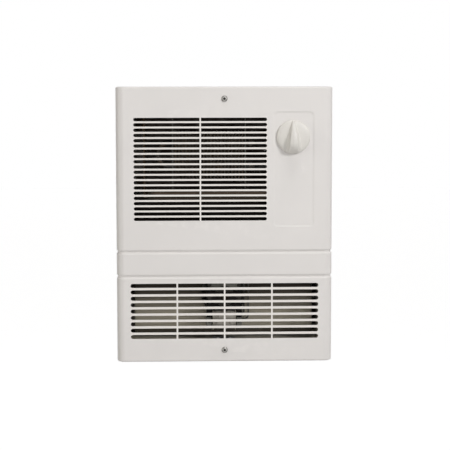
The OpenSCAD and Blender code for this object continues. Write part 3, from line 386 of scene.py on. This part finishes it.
def laminations():
    """Stacked steel sheets, seen as fine lines on every side that crosses the stack."""
    base = (0.013, 0.0115, 0.0105)
    f = Finish("steel_laminations", base, 0.55, 0.5, Specular_IOR_Level=0.1)
    lines, rust = f.bands(0.65, "Y"), f.noise(5, 4)
    tone = f.ramp(lines, (0.1, shade(base, 0.45)), (0.45, base), (0.9, shade(base, 1.5)))
    f.colour(f.over(tone, (0.035, 0.022, 0.013), f.spread(rust, 0.58, 0.8, 0, 0.4)))
    f.gloss(f.spread(rust, *SPAN, 0.36, 0.56))
    return f.relief((lines, 0.05), (f.noise(0.4, 2), 0.008))


def porous_bronze(name="sintered_bronze", base=(0.45, 0.29, 0.12)):
    """Sintered bronze with open pores, darkened by its oil."""
    f = Finish(name, base, 0.4, 1.0)
    pores, oil = f.cells(0.5, output="Distance"), f.noise(4, 3)
    tone = f.ramp(oil, (0.3, shade(base, 0.7)), (0.7, shade(base, 1.1)))
    f.colour(f.over(tone, shade(base, 0.4), f.spread(pores, 0.0, 0.3, 0.6, 0)))
    f.gloss(f.spread(oil, *SPAN, 0.3, 0.5))
    return f.relief((pores, 0.01))


def drawn_copper():
    """Copper tube and bulb, gone brown in patches."""
    base = (0.62, 0.27, 0.14)
    f = Finish("drawn_copper", base, 0.3, 1.0)
    tarnish, drawn = f.noise(9, 4), f.noise(0.5, 2)
    f.colour(f.ramp(tarnish, (0.3, shade(base, 1.05)), (0.55, shade(base, 0.8)),
                    (0.75, (0.2, 0.1, 0.06))))
    f.gloss(f.spread(tarnish, *SPAN, 0.24, 0.46))
    return f.relief((drawn, 0.004))


def nylon():
    """The winding's former: nylon darkened by heat and dust."""
    base = (0.3, 0.275, 0.22)
    f = Finish("bobbin_nylon", base, 0.45, IOR=1.53)
    flow, grain = f.noise(6, 3), f.noise(0.5, 2)
    f.colour(f.ramp(flow, (0.3, shade(base, 0.9)), (0.7, shade(base, 1.04))))
    f.gloss(f.spread(grain, *SPAN, 0.38, 0.52))
    return f.relief((grain, 0.008))


def glass_tape():
    """Woven tape in its varnish: a fine weave, and brown where the varnish has gathered."""
    base = (0.37, 0.345, 0.3)
    f = Finish("varnished_tape", base, 0.5, IOR=1.5)
    warp, weft = f.bands(0.5, "Z"), f.bands(0.5, "X")
    weave, varnish = f.times(warp, weft), f.noise(6, 3)
    tone = f.ramp(weave, (0.0, shade(base, 0.72)), (0.6, shade(base, 1.05)))
    f.colour(f.over(tone, (0.07, 0.045, 0.022), f.spread(varnish, 0.5, 0.72, 0, 0.75)))
    f.gloss(f.spread(varnish, 0.35, 0.7, 0.6, 0.3))
    return f.relief((weave, 0.06), (varnish, 0.05))


def phenolic():
    """Black moulded resin with its filler showing as fine specks."""
    base = (0.022, 0.019, 0.017)
    f = Finish("black_phenolic", base, 0.38, IOR=1.55)
    filler, flow = f.noise(0.6, 3), f.noise(8, 3)
    f.colour(f.ramp(filler, (0.35, base), (0.65, shade(base, 1.5)), (0.8, shade(base, 2.6))))
    f.gloss(f.spread(flow, *SPAN, 0.32, 0.48))
    return f.relief((filler, 0.008), (flow, 0.03))


def heat_darkened():
    """Aluminium casting, browned by heat, with its sand grain and a dusting of pale oxide."""
    base = (0.062, 0.05, 0.038)
    f = Finish("heat_darkened_casting", base, 0.65, 0.4, Specular_IOR_Level=0.2)
    grain, heat, oxide = f.noise(0.9, 4), f.noise(22, 3), f.noise(5, 4)
    tone = f.ramp(heat, (0.3, shade(base, 0.65)), (0.55, base), (0.75, (0.09, 0.06, 0.034)))
    f.colour(f.over(tone, (0.16, 0.145, 0.125), f.spread(oxide, 0.55, 0.8, 0, 0.4)))
    f.gloss(f.spread(oxide, 0.3, 0.8, 0.5, 0.78))
    return f.relief((grain, 0.05), (oxide, 0.06))


def oxidised_sheath():
    """The heating tube's steel, gone blue and brown, with a fine scale."""
    base = (0.05, 0.044, 0.038)
    f = Finish("oxidised_sheath", base, 0.5, 0.7, Specular_IOR_Level=0.25)
    temper, scale = f.noise(16, 3), f.noise(0.8, 3)
    tone = f.ramp(temper, (0.3, (0.03, 0.03, 0.038)), (0.5, base), (0.7, (0.065, 0.044, 0.028)))
    f.colour(f.over(tone, (0.022, 0.019, 0.016), f.spread(scale, 0.5, 0.8, 0, 0.6)))
    f.gloss(f.spread(temper, *SPAN, 0.42, 0.6))
    return f.relief((scale, 0.01))


def steatite(name="unglazed_steatite", base=(0.82, 0.8, 0.73)):
    """Unglazed ceramic with specks and stains."""
    f = Finish(name, base, 0.7)
    speck, stain = f.noise(0.6, 2), f.noise(4, 3)
    tone = f.ramp(stain, (0.4, base), (0.8, shade(base, 0.7)))
    f.colour(f.over(tone, shade(base, 0.6), f.spread(speck, 0.68, 0.85, 0, 0.7)))
    f.gloss(f.spread(stain, *SPAN, 0.62, 0.78))
    return f.relief((speck, 0.01))


def green_passivate():
    """The earth screw's green dip over zinc."""
    base = (0.04, 0.19, 0.06)
    f = Finish("green_passivate", base, 0.3, 0.8)
    bath, grain = f.noise(4, 3), f.noise(0.5, 2)
    f.colour(f.ramp(bath, (0.3, shade(base, 0.75)), (0.55, base), (0.75, (0.12, 0.24, 0.05))))
    f.gloss(f.spread(bath, *SPAN, 0.24, 0.42))
    return f.relief((grain, 0.005))


def rubber():
    """Moulded rubber of the grommets, dusty."""
    base = (0.018, 0.018, 0.019)
    f = Finish("moulded_rubber", base, 0.6)
    dust, grain = f.noise(4, 4), f.noise(0.5, 2)
    f.colour(f.ramp(dust, (0.4, base), (0.75, (0.06, 0.057, 0.052))))
    f.gloss(f.spread(dust, *SPAN, 0.52, 0.72))
    return f.relief((grain, 0.012))


def wire_cover(name, base, low):
    """Plastic insulation: base where it is clean, low where dust lies on it."""
    f = Finish(name, base, 0.36, IOR=1.5)
    dust, ripple = f.noise(7, 3), f.noise(1.5, 2)
    f.colour(f.ramp(dust, (0.35, base), (0.75, low)))
    f.gloss(f.spread(dust, *SPAN, 0.3, 0.5))
    return f.relief((ripple, 0.015))


def heat_stained():
    """Aluminised duct sheet, browned and sooted: the lip along its front has kept a lighter brown,
    with painted shade darkening its foot and its left end.
    """
    base = (0.3, 0.265, 0.205)
    f = Finish("heat_stained_sheet", base, 0.6, 0.35, Specular_IOR_Level=0.2)
    darkening, rolled = f.noise(16, 4), f.noise(3, 3, (0.06, 1, 1))
    clean = f.ramp(rolled, (0.3, shade(base, 0.85)), (0.7, shade(base, 1.1)))
    dark_tone = f.ramp(darkening, (0.3, (0.034, 0.018, 0.007)), (0.7, (0.062, 0.036, 0.014)))
    sheet = f.over(clean, dark_tone, f.spread(darkening, *SPAN, 0.85, 1.1))
    # Painted shade: the lip is darker at its foot, below the duct's floor.
    lip = f.ramp(f.along("Z", 33, 46), (0.35, (0.027, 0.0195, 0.0125)), (0.52, (0.064, 0.046, 0.032)))
    lip = f.over(lip, shade(base, 0.3), f.spread(darkening, 0.5, 0.8, 0, 0.25))
    # Painted shade at the lip's left end.
    left_end_shade = (0.008, 0.0075, 0.0045)
    lip = f.over(left_end_shade, lip, f.along("X", -103, -92))
    f.colour(f.over(sheet, lip, f.inside(*LIP_FACE)))
    f.gloss(f.spread(darkening, *SPAN, 0.52, 0.74))
    return f.relief((rolled, 0.01), (darkening, 0.05))


def black_cast():
    """Motor bridge casting under thin black paint, rubbed grey in patches."""
    base = (0.008, 0.0068, 0.0055)
    f = Finish("black_cast_bridge", base, 0.6, Specular_IOR_Level=0.12)
    grain, pale_patches = f.noise(0.7, 3), f.noise(4, 3)
    tone = f.ramp(grain, (0.35, shade(base, 0.7)), (0.7, shade(base, 1.6)))
    f.colour(f.over(tone, (0.05, 0.05, 0.05), f.spread(pale_patches, 0.6, 0.85, 0, 0.5)))
    f.gloss(f.spread(pale_patches, 0.3, 0.8, 0.5, 0.68))
    return f.relief((grain, 0.03), (pale_patches, 0.03))


FINISHES = {
    "cover_paint": baked_enamel(),
    "knob_plastic": moulded_ivory(),
    "galvanized": zinc_sheet(),
    "plate_steel": coated_plate(),
    "screw_steel": plated(),
    "fan_aluminium": mill_aluminium(),
    "stack_steel": laminations(),
    "cast_bracket": black_cast(),
    "bearing_bronze": porous_bronze(),
    "copper": drawn_copper(),
    "bobbin_nylon": nylon(),
    "coil_tape": glass_tape(),
    "black_phenolic": phenolic(),
    "heater_casting": heat_darkened(),
    "heater_sheath": oxidised_sheath(),
    "white_ceramic": steatite(),
    "green_steel": green_passivate(),
    "black_rubber": rubber(),
    "black_wire": wire_cover("black_insulation", (0.02, 0.02, 0.021), (0.07, 0.066, 0.06)),
    "white_wire": wire_cover("white_insulation", (0.72, 0.71, 0.67), (0.5, 0.47, 0.41)),
}

# Parts whose finish has aged away from the rest of their slot, some also with painted shade and light
AGED = {
    "cover_screws": cover_screw_zinc(),
    "wall_housing": zinc_sheet("can_galvanized", can=True),
    "outlet_duct": heat_stained(),
    # Oily bearings, darkened to near black as painted shade
    "motor_bearings": porous_bronze("oil_and_shade_bronze", (0.01, 0.0075, 0.005)),
    "motor_leads": wire_cover("sooted_insulation", (0.07, 0.065, 0.055), (0.045, 0.04, 0.032)),
    # Dust and painted shade darken the blower wheel
    "blower_wheel": mill_aluminium("dust_and_shade_aluminium", (0.12, 0.112, 0.1), 0.56),
    "element_insulators": steatite("browned_steatite", (0.1, 0.085, 0.065)),
}
# Dusty zinc for the mounts, brackets and clips inside, made darker still as painted shade
DUST_AND_SHADE_ZINC = zinc_sheet("dust_and_shade_galvanized", (0.13, 0.125, 0.11), 1.4)
for part in ("motor_mount_top", "motor_mount_bottom", "element_brackets", "bulb_clips"):
    AGED[part] = DUST_AND_SHADE_ZINC
# Steel parts inside the can, darkened as painted shade
DARK_STEEL = plated("darkened_steel", (0.035, 0.032, 0.028), 0.5)
for part in ("motor_rotor", "motor_shaft", "stack_rivets", "mount_screws", "motor_bolts", "motor_nuts",
             "element_screws", "element_pins", "chassis_screws"):
    AGED[part] = DARK_STEEL

slot_of = {name: node.material_slots[0].material.name for name, node in nodes.items()}
body_of = {name: node["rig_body"] for name, node in nodes.items()}


def finish_of(node):
    """A node's finish: the aged one where it has one, and otherwise its slot's."""
    return AGED.get(node, FINISHES[slot_of[node]]).material


def coat(piece, node):
    """Gives a piece the slot and finish of the node that it stands for, all over."""
    piece.data.materials.clear()
    piece.data.materials.append(finish_of(node))


for name, node in nodes.items():
    node.material_slots[0].material = finish_of(name)


# ---- Bench work: the ways a piece is made ----


def deselect():
    """Leaves edit mode and lets go of every piece."""
    if bpy.context.object and bpy.context.object.mode != "OBJECT":
        bpy.ops.object.mode_set(mode="OBJECT")
    bpy.ops.object.select_all(action="DESELECT")


def hold(piece):
    """Selects one piece alone and makes it the active one."""
    deselect()
    piece.select_set(True)
    bpy.context.view_layer.objects.active = piece


def settle(piece, name):
    """Puts a new piece's place and turn in its mesh."""
    piece.name = piece.data.name = name
    hold(piece)
    bpy.ops.object.transform_apply(location=True, rotation=True, scale=True)
    return piece


def pick(piece, test, kind="VERT"):
    """In edit mode, selects what passes the test, which is given a vertex's place, a face, or the
    places of an edge's two ends."""
    bpy.ops.mesh.select_all(action="DESELECT")
    bpy.ops.mesh.select_mode(type=kind)
    bpy.ops.object.mode_set(mode="OBJECT")
    if kind == "VERT":
        for v in piece.data.vertices:
            v.select = test(v.co)
    elif kind == "FACE":
        for p in piece.data.polygons:
            p.select = test(p)
    else:
        ends = piece.data.vertices
        for e in piece.data.edges:
            e.select = test(ends[e.vertices[0]].co, ends[e.vertices[1]].co)
    bpy.ops.object.mode_set(mode="EDIT")


def finish_with(piece, kind, **values):
    """Adds a modifier and applies it."""
    hold(piece)
    modifier = piece.modifiers.new(kind.lower(), kind)
    for key, value in values.items():
        setattr(modifier, key, value)
    bpy.ops.object.modifier_apply(modifier=modifier.name)


def round_edges(piece, width, segments=2, angle=28):
    """Takes the sharpness off every edge, clears faces of no area that this leaves, and lets the
    light run over the rounding."""
    finish_with(piece, "BEVEL", width=width * MM, segments=segments, limit_method="ANGLE",
                angle_limit=math.radians(angle), use_clamp_overlap=True, harden_normals=False)
    hold(piece)
    bpy.ops.object.mode_set(mode="EDIT")
    bpy.ops.mesh.select_all(action="SELECT")
    bpy.ops.mesh.dissolve_degenerate(threshold=0.0005 * MM)
    bpy.ops.object.mode_set(mode="OBJECT")
    bpy.ops.object.shade_smooth_by_angle(angle=math.radians(angle + 12))
    finish_with(piece, "WEIGHTED_NORMAL", keep_sharp=True, weight=90)


def fit(piece, node):
    """Finishes a piece and puts it in the place of its CAD node."""
    coat(piece, node)
    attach(piece, body_of[node])
    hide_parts(node)


def worked(node, width, segments=2, name=None, reshape=None):
    """A CAD node's own shape with its burrs taken off: flat ground made whole and edges eased."""
    hold(nodes[node])
    bpy.ops.object.duplicate()
    piece = bpy.context.object
    piece.parent = None
    for key in list(piece.keys()):
        del piece[key]
    piece.name = piece.data.name = name or f"{node}_worked"
    hold(piece)
    bpy.ops.object.mode_set(mode="EDIT")
    bpy.ops.mesh.select_all(action="SELECT")
    bpy.ops.mesh.remove_doubles(threshold=0.004 * MM)
    bpy.ops.mesh.customdata_custom_splitnormals_clear()
    bpy.ops.mesh.dissolve_limited(angle_limit=math.radians(0.4), delimit=set())
    if reshape:
        reshape(piece)
    bpy.ops.object.mode_set(mode="OBJECT")
    round_edges(piece, width, segments)
    fit(piece, node)


# ---- Front: the pressed cover ----

# The cover's face, and its control panel: the outline, the floor's depth and how far the floor is
# drawn in to slope each wall
FACE_Y = -22.0
PANEL_X, PANEL_Z, PANEL_Y = (63.3, 121.3), (-2.95, 152.55), -21.0
SLOPE_LEFT, SLOPE_RIGHT, SLOPE_LOW, SLOPE_HIGH = 6.0, 3.8, 2.8, 2.6
# How far the floor's rounded corners reach in from its outline
PANEL_CORNER = 2.2


def slope_panel(cover):
    """Draws the panel's floor in, so that its walls slope, with a soft turn half way down each."""
    (left, right), (low, high) = PANEL_X, PANEL_Z
    wide, tall = right - left, high - low
    in_x, in_z = SLOPE_LEFT + SLOPE_RIGHT, SLOPE_LOW + SLOPE_HIGH
    still = Vector((left + wide * SLOPE_LEFT / in_x, PANEL_Y, low + tall * SLOPE_LOW / in_z))
    near = 0.2

    def on_outline(v):
        x, z = v.x / MM, v.z / MM
        if not (left - near < x < right + near and low - near < z < high + near):
            return False
        return min(x - left, right - x, z - low, high - z) < PANEL_CORNER

    def level(y, wanted):
        return abs(y / MM - wanted) < 0.1

    pick(cover, lambda v: level(v.y, PANEL_Y) and on_outline(v))
    bpy.ops.transform.resize(value=(1 - in_x / wide, 1, 1 - in_z / tall), center_override=still * MM)
    pick(cover, lambda a, b: level(min(a.y, b.y), FACE_Y) and level(max(a.y, b.y), PANEL_Y), "EDGE")
    bpy.ops.mesh.subdivide(number_cuts=1)


worked("front_cover", 0.35, 3, name="pressed_cover", reshape=slope_panel)


# ---- Dial: a domed skirt with a wedge grip standing on it ----

DIAL = Vector((92, -21.4, 118)) * MM


def turned(name, centre, profile, sides):
    """Turns a solid about a line along Y: profile is (radius, height above centre), in mm."""
    deselect()
    first = profile[0]
    bpy.ops.mesh.primitive_circle_add(
        vertices=sides, radius=first[0] * MM, fill_type="NGON",
        location=centre - Vector((0, first[1] * MM, 0)), rotation=(math.pi / 2, 0, 0))
    piece = settle(bpy.context.object, name)
    bpy.ops.object.mode_set(mode="EDIT")
    bpy.ops.mesh.select_all(action="SELECT")
    for last, now in zip(profile, profile[1:]):
        rise = (0, (last[1] - now[1]) * MM, 0)
        bpy.ops.mesh.extrude_region_move(TRANSFORM_OT_translate={"value": rise})
        wider = now[0] / last[0]
        bpy.ops.transform.resize(value=(wider, 1, wider), center_override=centre)
    bpy.ops.mesh.select_all(action="SELECT")
    bpy.ops.mesh.normals_make_consistent(inside=False)
    bpy.ops.object.mode_set(mode="OBJECT")
    return piece


# The skirt from its foot inwards: radius and height
SKIRT = ((21.7, 0.1), (22.3, 0.1), (22.5, 0.4), (22.5, 1.3), (22.3, 2.2), (21.75, 3.0), (20.9, 3.7),
         (19.6, 4.3), (17.0, 5.0), (12.5, 5.7), (7.0, 6.2), (2.5, 6.45), (0.3, 6.5))
# The dome that the grip stands on: its height, and its fall with the square of the way out
DOME = 5.9
DOME_FALL = 2.6 / 20 ** 2
# Along the grip from foot to tip: place, height, half width on top and where its flanks run out
GRIP = ((-21.3, 4.8, 5.7, 7.4), (-20.2, 6.8, 5.7, 8.8), (-17.8, 9.9, 5.7, 10.2),
        (-15.0, 12.6, 5.6, 11.0), (-12.0, 14.5, 5.5, 11.3), (-8.5, 15.4, 5.3, 10.9),
        (-3.0, 15.5, 4.8, 9.7), (3.0, 14.8, 4.0, 7.8), (9.0, 12.9, 3.0, 5.8),
        (14.0, 10.6, 2.3, 4.2), (18.5, 8.1, 1.6, 2.9), (21.2, 5.2, 1.0, 1.8))
# How high the crown stands along the grip where its top is 6 mm in half width
GRIP_CROWN = 1.1
# How far out and how high the hollow of a flank lies, between the top edge and the dome
HOLLOW_OUT, HOLLOW_UP = 0.4, 0.3
# The bar that the grip is drawn from: its half width, and the distance between its stations
BAR, STATION = 1, 10
# Shaped points are set this far aside, in mm, so that no later step picks them again
ASIDE = 500


def shift(piece, test, move):
    """Moves the points that pass the test, by mm along X, Y and Z."""
    pick(piece, test)
    bpy.ops.transform.translate(value=Vector(move) * MM)


def cut_bar():
    """A square bar cut across at each station and once along each side."""
    deselect()
    bpy.ops.mesh.primitive_cube_add(size=1, location=(0, 0, 0))
    bar = bpy.context.object
    cuts = len(GRIP) - 1
    bar.scale = (2 * BAR * MM, 2 * BAR * MM, cuts * STATION * MM)
    settle(bar, "dial_grip")
    bpy.ops.object.mode_set(mode="EDIT")
    pick(bar, lambda a, b: abs(a.z - b.z) > MM, "EDGE")
    bpy.ops.mesh.subdivide(number_cuts=cuts - 1)
    for way in (0, 1):
        pick(bar, lambda a, b: abs(a[way] - b[way]) > MM, "EDGE")
        bpy.ops.mesh.subdivide(number_cuts=1)
    return bar


def dial_grip():
    """The cut bar, each station drawn to the wedge's section there and set at its place."""
    grip = cut_bar()
    near = 0.1 * MM
    levels = [(i - (len(GRIP) - 1) / 2) * STATION for i in range(len(GRIP))]

    def at(level):
        return lambda v: abs(v.z - level * MM) < near

    for level, (place, height, top, foot) in zip(levels, GRIP):
        here = at(level)
        root = DOME - DOME_FALL * (place ** 2 + foot ** 2)
        hollow_w = top + (foot - top) * HOLLOW_OUT
        hollow_h = DOME + (height - DOME) * HOLLOW_UP if height > DOME else height - 0.5
        for test, half, out in ((lambda v: here(v) and v.y < -near, top, BAR - height),
                                (lambda v: here(v) and abs(v.y) < near, hollow_w, -hollow_h),
                                (lambda v: here(v) and v.y > near, foot, -BAR - root)):
            pick(grip, test)
            bpy.ops.transform.resize(value=(half, 1, 1), center_override=(0, 0, 0))
            bpy.ops.transform.translate(value=(0, (out - ASIDE) * MM, 0))
        crest = -(height - 0.3 + ASIDE) * MM
        shift(grip, lambda v: here(v) and abs(v.x) < near and v.y < crest, (0, -GRIP_CROWN * top / 6, 0))
    shift(grip, lambda v: True, (0, ASIDE, 0))
    for level, (place, *_) in zip(levels, GRIP):
        shift(grip, at(level), (0, 0, 2 * ASIDE + place - level))
    shift(grip, lambda v: True, (0, 0, -2 * ASIDE))
    bpy.ops.object.mode_set(mode="OBJECT")
    finish_with(grip, "BEVEL", width=1.1 * MM, segments=4, limit_method="ANGLE",
                angle_limit=math.radians(40))
    grip.location = DIAL
    return settle(grip, "dial_grip")


def build_dial():
    """Joins grip and skirt, then softens the joint between them as a mould would."""
    dial = turned("control_dial", DIAL, SKIRT, 128)
    grip = dial_grip()
    finish_with(dial, "BOOLEAN", object=grip, operation="UNION", solver="EXACT")
    bpy.data.objects.remove(grip)
    finish_with(dial, "REMESH", mode="VOXEL", voxel_size=0.34 * MM, use_smooth_shade=True)
    finish_with(dial, "SMOOTH", factor=0.5, iterations=7)
    hold(dial)
    bpy.ops.object.shade_smooth()
    fit(dial, "control_knob")


build_dial()


# ---- Cover screws: pan heads with a cross recess ----

# How far above and below the cover's middle the screws sit
SCREW_Z = 169
# A screw from its tip to the crown of its head: radius, and height above the cover's face
SCREW = ((1.5, -9.0), (1.95, -8.4), (1.95, 0.0), (4.2, 0.02), (4.25, 0.35), (4.1, 0.95), (3.6, 1.6),
         (2.8, 2.08), (1.6, 2.38), (0.3, 2.45))
# The blades that cut the cross, each across, deep and tall: no two are equally deep, so no two
# floors fall together. They narrow inwards, and stand with their middles this far off the cover.
BLADES = (5.0, 3.5, 1.5), (1.5, 3.6, 5.0), (3.2, 3.9, 3.2)
BLADE_TAPER, BLADE_OUT = 0.42, 2.2


def cover_screw(name, height):
    seat = Vector((0, FACE_Y * MM, height * MM))
    screw = turned(name, seat, SCREW, 48)
    for blade_size in BLADES:
        deselect()
        bpy.ops.mesh.primitive_cube_add(size=1, location=(0, 0, 0))
        blade = bpy.context.object
        blade.scale = Vector(blade_size) * MM
        settle(blade, "driver_blade")
        bpy.ops.object.mode_set(mode="EDIT")
        pick(blade, lambda v: v.y > 0)
        bpy.ops.transform.resize(value=(BLADE_TAPER, 1, BLADE_TAPER), center_override=(0, 0, 0))
        bpy.ops.object.mode_set(mode="OBJECT")
        blade.location = seat - Vector((0, BLADE_OUT * MM, 0))
        settle(blade, "driver_blade")
        finish_with(screw, "BOOLEAN", object=blade, operation="DIFFERENCE", solver="EXACT")
        bpy.data.objects.remove(blade)
    round_edges(screw, 0.12, 2, 35)
    return screw


def build_cover_screws():
    low = cover_screw("cover_screws_set", -SCREW_Z)
    high = cover_screw("cover_screw_high", SCREW_Z)
    deselect()
    high.select_set(True)
    low.select_set(True)
    bpy.context.view_layer.objects.active = low
    bpy.ops.object.join()
    fit(low, "cover_screws")


build_cover_screws()


# ---- Motor winding: a coil lapped with tape ----

# Turns of tape along the winding and their slant, and how far every other one stands out, in mm
LAPS, SLANT, TAPE = 7, 0.09, 0.38
WINDING_CORNER = 4.2
# How much smaller the bare coil is than its node, so that the tape stays inside the node's box
TAPE_ROOM = 0.8


def build_winding():
    low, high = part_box("motor_coil")
    middle, size = (low + high) / 2, high - low
    deselect()
    bpy.ops.mesh.primitive_cube_add(size=1, location=middle)
    coil = bpy.context.object
    coil.scale = (size.x, size.y - TAPE_ROOM * MM, size.z - TAPE_ROOM * MM)
    settle(coil, "taped_winding")
    bpy.ops.object.mode_set(mode="EDIT")
    pick(coil, lambda a, b: abs(a.x - b.x) > MM, "EDGE")
    bpy.ops.mesh.bevel(offset=WINDING_CORNER * MM, segments=5, affect="EDGES")
    lap = size.x / LAPS
    for i in range(1, LAPS):
        bpy.ops.mesh.select_all(action="SELECT")
        bpy.ops.mesh.bisect(plane_co=(low.x + lap * i, middle.y, middle.z), plane_no=(1, 0, SLANT))
    for i in range(0, LAPS, 2):
        x = low.x + lap * (i + 0.5)
        pick(coil, lambda p: abs(p.center.x - x) < lap * 0.35 and abs(p.normal.x) < 0.5, "FACE")
        bpy.ops.mesh.extrude_region_shrink_fatten(TRANSFORM_OT_shrink_fatten={"value": -TAPE * MM})
    bpy.ops.mesh.select_all(action="SELECT")
    bpy.ops.mesh.normals_make_consistent(inside=False)
    bpy.ops.object.mode_set(mode="OBJECT")
    round_edges(coil, 0.16, 2, 25)
    fit(coil, "motor_coil")


build_winding()


# ---- The works: the parts listed below, with their edges eased ----

# The lip's ends along X, its thickness, and how far it stands above and below the duct's floor
LIP_X, LIP_T, LIP_UP, LIP_DOWN = (-102, 58), 0.8, 7.6, 3.4
# How far the intake plate goes on down
PLATE_DROP = 4.5


def turn_lip(duct):
    """Turns a stiffening lip up and down along the front of the duct's floor, behind rows 15 and 16."""
    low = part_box("outlet_duct")[0] / MM
    behind = low.y + LIP_T
    bpy.ops.mesh.select_all(action="SELECT")
    bpy.ops.mesh.bisect(plane_co=(0, behind * MM, 0), plane_no=(0, 1, 0))
    for x in LIP_X:
        bpy.ops.mesh.select_all(action="SELECT")
        bpy.ops.mesh.bisect(plane_co=(x * MM, 0, 0), plane_no=(1, 0, 0))

    def on_strip(p, side):
        place = p.center / MM
        on_floor = p.normal.z * side > 0.9 and place.z < low.z + 2
        return on_floor and place.y < behind and LIP_X[0] < place.x < LIP_X[1]

    for side, height in ((1, LIP_UP), (-1, -LIP_DOWN)):
        pick(duct, lambda p: on_strip(p, side), "FACE")
        bpy.ops.mesh.extrude_region_move(TRANSFORM_OT_translate={"value": (0, 0, height * MM)})


def drop_edge(plate):
    """Carries the intake plate and its flanges on down, as far as intake row 8 shows them."""
    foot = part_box("intake_plate")[0].z / MM
    pick(plate, lambda p: p.normal.z < -0.9 and abs(p.center.z / MM - foot) < 0.3, "FACE")
    bpy.ops.mesh.extrude_region_move(TRANSFORM_OT_translate={"value": (0, 0, -PLATE_DROP * MM)})


RESHAPED = {"outlet_duct": turn_lip, "intake_plate": drop_edge}
# How wide each part's edges are eased, in mm
EASED = {
    "wall_housing": 0.3, "cover_brackets": 0.25, "intake_plate": 0.25, "scroll_housing": 0.25,
    "outlet_duct": 0.25, "blower_wheel": 0.1, "motor_stack": 0.08, "motor_bracket_front": 0.4,
    "motor_bracket_rear": 0.4, "motor_mount_top": 0.2, "motor_mount_bottom": 0.2,
    "element_casting": 0.3, "element_brackets": 0.2, "element_insulators": 0.3, "coil_bobbin": 0.2,
    "control_bracket": 0.2, "thermostat_body": 0.4, "thermostat_nut": 0.2, "limit_switch": 0.4,
    "terminal_block": 0.4, "bulb_clips": 0.15, "chassis_screws": 0.2, "mount_screws": 0.2,
    "element_screws": 0.2, "bracket_rivets": 0.2, "stack_rivets": 0.15, "ground_screw": 0.3,
}
for part, ease in EASED.items():
    worked(part, ease, reshape=RESHAPED.get(part))


# ---- Stage: floor, lamps and surround ----

# Far enough down that a view from below shows the heater, and not the floor's underside
FLOOR_Z = -1.4
# The floor's glow to the eye, which with the lamps' light makes it white, and the room's own light
FLOOR_GLOW, ROOM_LIGHT = 0.91, 0.02


def only_seen(tree, seen, lit):
    """Mixes two shaders: one for what the camera, gloss and glass see, one for the light it gives."""
    path = tree.nodes.new("ShaderNodeLightPath")
    looked_at = path.outputs["Is Camera Ray"]
    for ray in ("Is Glossy Ray", "Is Transmission Ray"):
        either = tree.nodes.new("ShaderNodeMath")
        either.operation = "MAXIMUM"
        tree.links.new(looked_at, either.inputs[0])
        tree.links.new(path.outputs[ray], either.inputs[1])
        looked_at = either.outputs[0]
    mix = tree.nodes.new("ShaderNodeMixShader")
    for socket, value in zip(mix.inputs, (looked_at, lit, seen)):
        tree.links.new(value, socket)
    return mix.outputs[0]


def room_glow(tree, colour, strength):
    """Light of one colour from all round."""
    glow = tree.nodes.new("ShaderNodeBackground")
    glow.inputs["Color"].default_value = (*colour, 1)
    glow.inputs["Strength"].default_value = strength
    return glow.outputs[0]


def add_surround():
    bpy.context.scene.view_settings.view_transform = "Standard"
    world = bpy.data.worlds.new("white_room")
    bpy.context.scene.world = world
    world.use_nodes = True
    tree = world.node_tree
    tree.nodes.clear()
    seen = room_glow(tree, (1, 1, 1), 1.0)
    lit = room_glow(tree, (1.0, 0.97, 0.9), ROOM_LIGHT)
    out = tree.nodes.new("ShaderNodeOutputWorld")
    tree.links.new(only_seen(tree, seen, lit), out.inputs["Surface"])


def add_floor():
    deselect()
    bpy.ops.mesh.primitive_plane_add(size=40, location=(0, 0, FLOOR_Z))
    floor = settle(bpy.context.object, "studio_floor")
    material = bpy.data.materials.new("pale_floor")
    material.use_nodes = True
    tree = material.node_tree
    matt = tree.nodes["Principled BSDF"]
    matt.inputs["Base Color"].default_value = (0.8, 0.8, 0.8, 1)
    matt.inputs["Roughness"].default_value = 0.9
    glow = tree.nodes.new("ShaderNodeEmission")
    glow.inputs["Strength"].default_value = FLOOR_GLOW
    both = tree.nodes.new("ShaderNodeAddShader")
    tree.links.new(matt.outputs[0], both.inputs[0])
    tree.links.new(glow.outputs[0], both.inputs[1])
    out = tree.nodes["Material Output"]
    tree.links.new(only_seen(tree, both.outputs[0], matt.outputs[0]), out.inputs["Surface"])
    floor.data.materials.append(material)


def add_lamp(name, place, size, watts, tint=(1, 1, 1)):
    """A square softbox turned towards the heater's middle."""
    data = bpy.data.lights.new(name, "AREA")
    data.shape = "SQUARE"
    data.size = size
    data.energy = watts
    data.color = tint
    lamp = bpy.data.objects.new(name, data)
    bpy.context.scene.collection.objects.link(lamp)
    lamp.location = place
    lamp.rotation_euler = (-Vector(place)).to_track_quat("-Z", "Y").to_euler()


add_surround()
add_floor()
add_lamp("key_softbox", (2.0, -2.4, 1.55), 0.6, 60)
add_lamp("front_softbox", (0.2, -3.2, 0.3), 2.2, 26)
add_lamp("top_softbox", (0.3, -0.7, 2.4), 1.0, 20)
add_lamp("right_fill", (2.4, -0.5, 0.5), 0.8, 2.5)
add_lamp("left_fill", (-2.7, -0.75, 0.35), 1.3, 23, (1.0, 0.98, 0.92))
